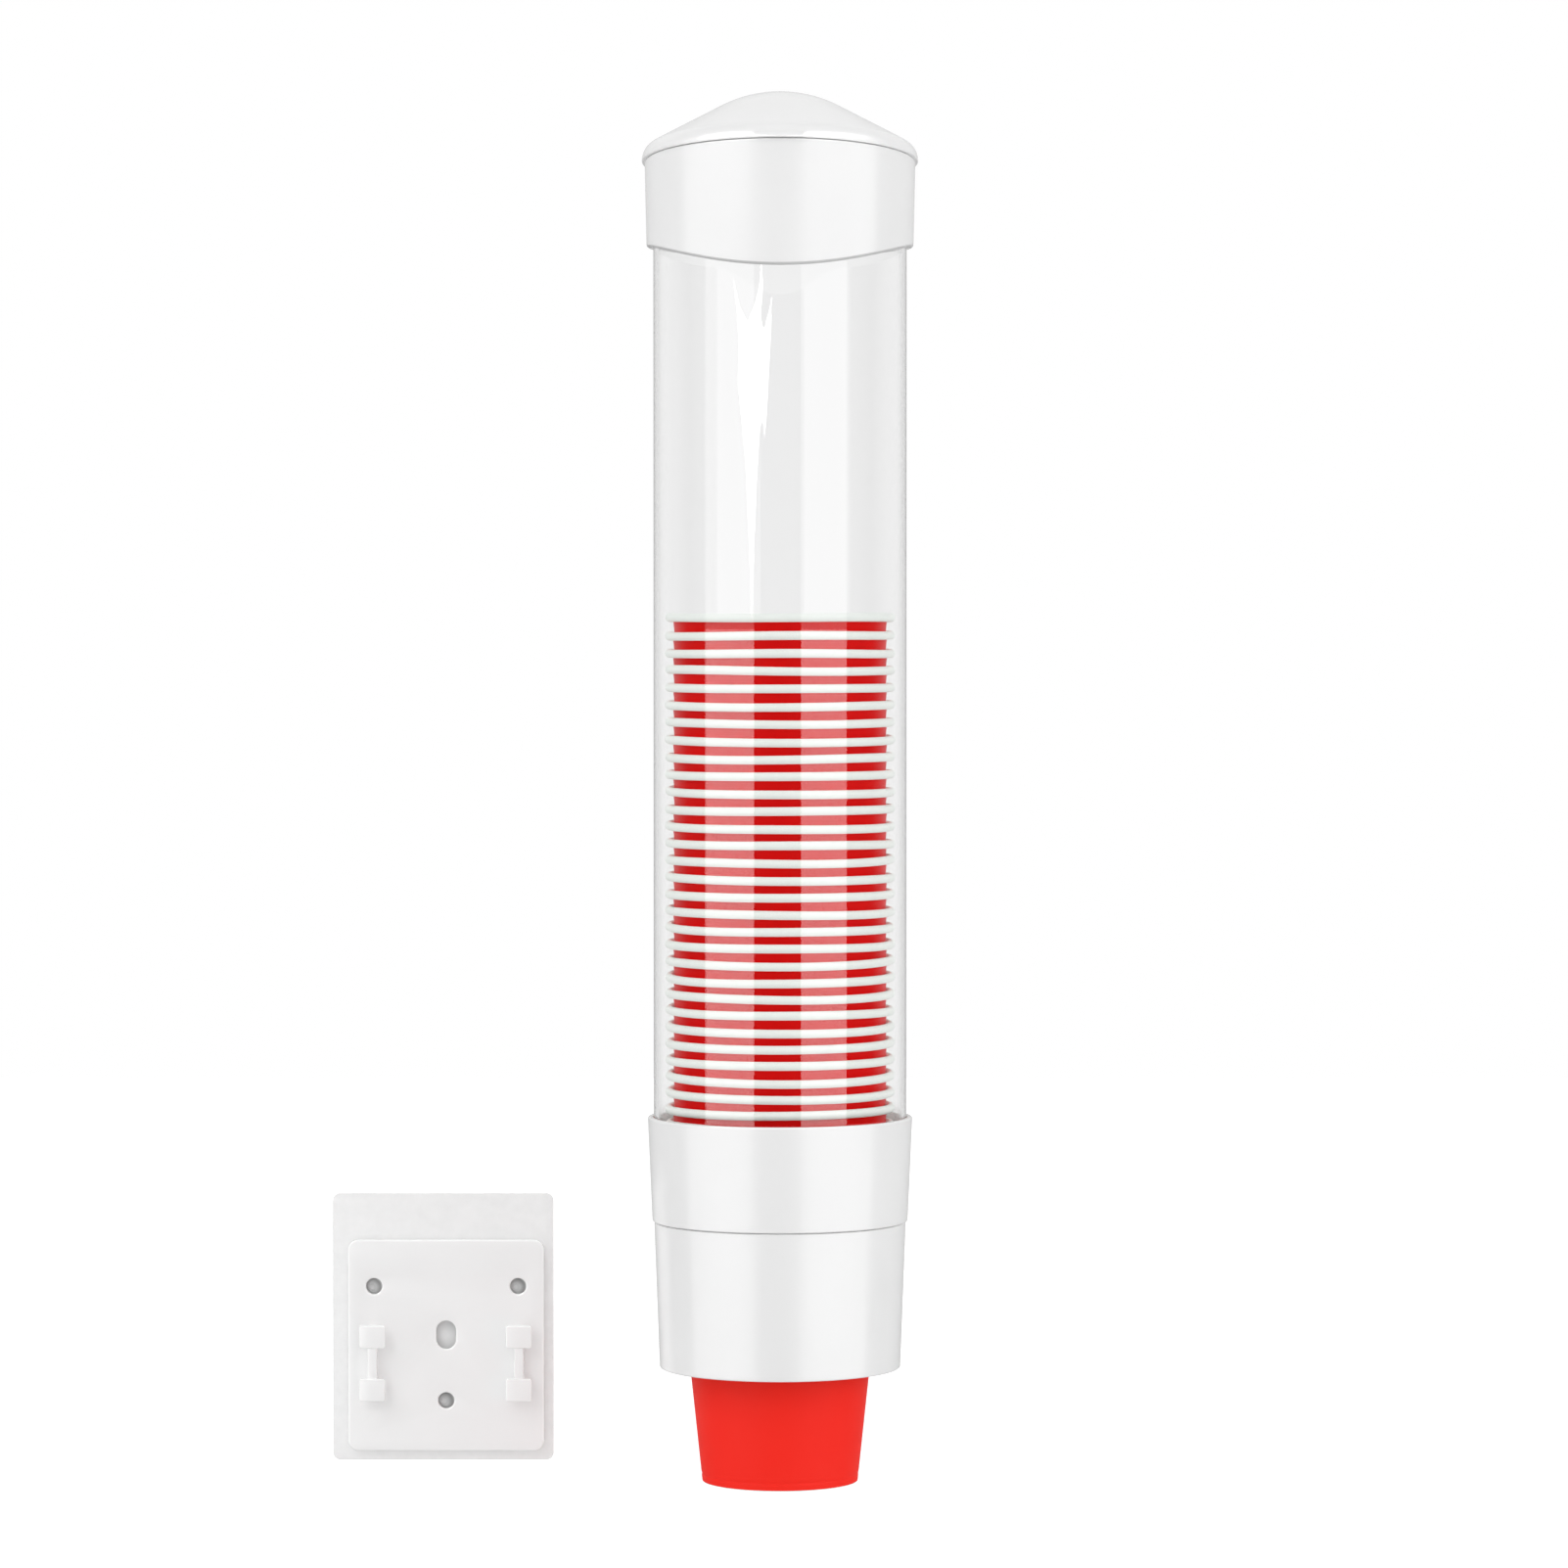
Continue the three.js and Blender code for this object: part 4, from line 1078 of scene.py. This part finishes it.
def surroundings(finish, way, direct, kind):
    """The direct surface, and for rays off gloss or through glass a white light as strong as mirrored()."""
    indirect = finish.faded(mirrored(finish, way), finish.white(0.0, kind), finish.white(1.0, kind))
    return finish.faded(finish.ray("Glossy").larger(finish.ray("Transmission")), direct, indirect)


scene.view_settings.view_transform = "Standard"
scene.world = bpy.data.worlds.new("studio")
scene.world.use_nodes = True
around = Finish("studio", scene.world.node_tree)
soft, plain = around.white(SOFT_LIGHT, "Background"), around.white(1.0, "Background")
direct_sky = around.faded(around.ray("Camera"), soft, plain)
sky = surroundings(around, around.node("TexCoord", out="Generated"), direct_sky, "Background")
around.node("OutputWorld", sockets={"Surface": sky})
print("light from all round:", SOFT_LIGHT, "mirrored from the front:", FRONT_GLOSS)

# %% Pale floor
FLOOR_LEVEL, FLOOR_HALF = -0.42, 6.0
FLOOR_GLOW = 0.55  # lifts the floor to white for the camera, and its shadows stay
pale = Finish("pale_floor")
mottle = pale.noise(pale.place(), scale=3.0, detail=3.0)
ground = pale.principled(
    Base_Color=pale.mix(mottle, tone(228), tone(232)), Roughness=mottle * 0.1 + 0.8,
)
glowing = pale.node("AddShader", sockets={0: ground, 1: pale.white(FLOOR_GLOW)})
direct_floor = pale.faded(pale.ray("Camera"), ground, glowing)
outwards = pale.node("VectorMath", {"operation": "NORMALIZE"}, {0: pale.place()})
floor_look = pale.shown(surroundings(pale, outwards, direct_floor, "Emission"))
side = np.linspace(-FLOOR_HALF, FLOOR_HALF, 9) / MM
corner_y, corner_x = np.meshgrid(side, side, indexing="ij")
floor_points = np.stack([corner_x, corner_y, np.full_like(corner_x, FLOOR_LEVEL / MM)], axis=2)
floor = placed("floor", Form().grid(floor_points).mesh("floor", np.zeros(3)))
floor.data.materials.append(floor_look)
floor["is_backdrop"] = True

# %% [markdown]
# ### Lamps
#
# Tall soft boxes that only show in reflections make the two pale bands down the tube and the stripes on the
# mouldings. Their middle level is weaker, because the tube is empty there. Two high ones make the sheen on
# the lid. A key from the left and a fill from the right light the object and show in nothing.

# %% Soft boxes
BAND_LEVELS = ((-0.55, 0.215, 2.4), (0.215, 0.42, 0.9), (0.42, 0.95, 2.6))  # low, high, radiance
BAND_AWAY = 1.2


def softbox(name, azimuth, elevation, distance, size, middle, radiance, glossy):
    """An area lamp that faces the tube's axis. Azimuth 0 is the front and 90 the right. Its power is
    pi * radiance * area. A glossy one only shows in reflections; the others only light."""
    lamp = bpy.data.lights.new(name, "AREA")
    lamp.shape, lamp.size, lamp.size_y = "RECTANGLE", size[0], size[1]
    lamp.energy = math.pi * radiance * size[0] * size[1]
    turn, rise = math.radians(azimuth), math.radians(elevation)
    target = Vector((AXIS[0] * MM, AXIS[1] * MM, middle))
    aim = Vector((math.sin(turn) * math.cos(rise), -math.cos(turn) * math.cos(rise), math.sin(rise)))
    made = placed(name, lamp)
    made.location = target + distance * aim
    made.rotation_euler = (-aim).to_track_quat("-Z", "Y").to_euler()
    made.visible_camera = False
    made.visible_glossy = made.visible_transmission = glossy
    made.visible_diffuse = not glossy
    return made


for low, high, radiance in BAND_LEVELS:
    middle = (low + high) / 2
    softbox(f"mirrored_left_{high}", -47.4, 0, BAND_AWAY, (1.07, high - low), middle, radiance, True)
    softbox(f"mirrored_right_{high}", 41.3, 0, BAND_AWAY, (0.99, high - low), middle, radiance * 0.95, True)
softbox("mirrored_high_left", -37, 28, 1.3, (1.45, 0.6), 0.37, 7.0, True)
softbox("mirrored_high_right", 45, 28, 1.3, (1.85, 0.6), 0.37, 7.0, True)
softbox("key_left", -50, 35, 1.6, (1.0, 1.0), 0.15, 1.5, False)
softbox("fill_right", 70, 15, 1.8, (1.0, 1.2), 0.15, 1.4, False)

# %% [markdown]
# ### Windows
#
# A ray off a perfectly polished face is a singular ray. By it the tube alone mirrors a ragged window high on
# its left, and the duller plastics alone mirror two far windows, which brighten their edges.

# %% Windows, which only some gloss mirrors
WINDOW_AWAY = 1.1
FAR_LOW, FAR_HIGH = -0.5, 0.9


def window(name, outline, light, polished):
    """A shape of (azimuth, level) corners round the tube's axis. Only what it mirrors shows it: the polished
    tube alone, or the duller plastics alone."""
    turn = np.radians(outline[:, 0])
    across = WINDOW_AWAY * np.sin(turn) + AXIS[0] * MM
    deep = -WINDOW_AWAY * np.cos(turn) + AXIS[1] * MM
    points = np.stack([across, deep, outline[:, 1]], axis=1)
    made = placed(name, Form().cap(points / MM).mesh(name, np.zeros(3)))
    glare = Finish(f"{name}_glare")
    singular = glare.ray("Singular")
    shows = singular if polished else 1 - singular
    made.data.materials.append(glare.shown(glare.faded(shows, glare.white(0.0), glare.white(light))))
    made.visible_camera = made.visible_diffuse = made.visible_shadow = made.visible_transmission = False
    made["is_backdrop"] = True
    return made


ragged_outline = np.array([
    (-42.2, 0.393), (-35.8, 0.378), (-28.6, 0.37), (-22.4, 0.379), (-18.0, 0.389), (-16.7, 0.403),
    (-15.0, 0.389), (-17.2, 0.374), (-14.6, 0.366), (-10.2, 0.374), (-7.2, 0.383), (-7.6, 0.369),
    (-9.4, 0.349), (-11.1, 0.329), (-13.3, 0.312), (-15.4, 0.321), (-18.1, 0.316), (-20.7, 0.289),
    (-22.9, 0.258), (-25.1, 0.217), (-27.3, 0.258), (-30.4, 0.299), (-34.0, 0.319), (-37.6, 0.34),
    (-36.7, 0.36), (-38.5, 0.375),
])
window("ragged_window", ragged_outline, light=14.0, polished=True)
for name, left, right, light in (("far_left_window", -88, -71, 1.9), ("far_right_window", 62, 88, 2.1)):
    window(name, block_outline((left, FAR_LOW), (right, FAR_HIGH), corner=0), light, polished=False)
print("windows:", 3, "the ragged one has", len(ragged_outline), "corners")

# %% Sizes
shown_low, shown_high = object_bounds()
sizes = {"cad": [list(cad_low), list(cad_high)], "visual": [list(shown_low), list(shown_high)]}
print("box:", sizes)
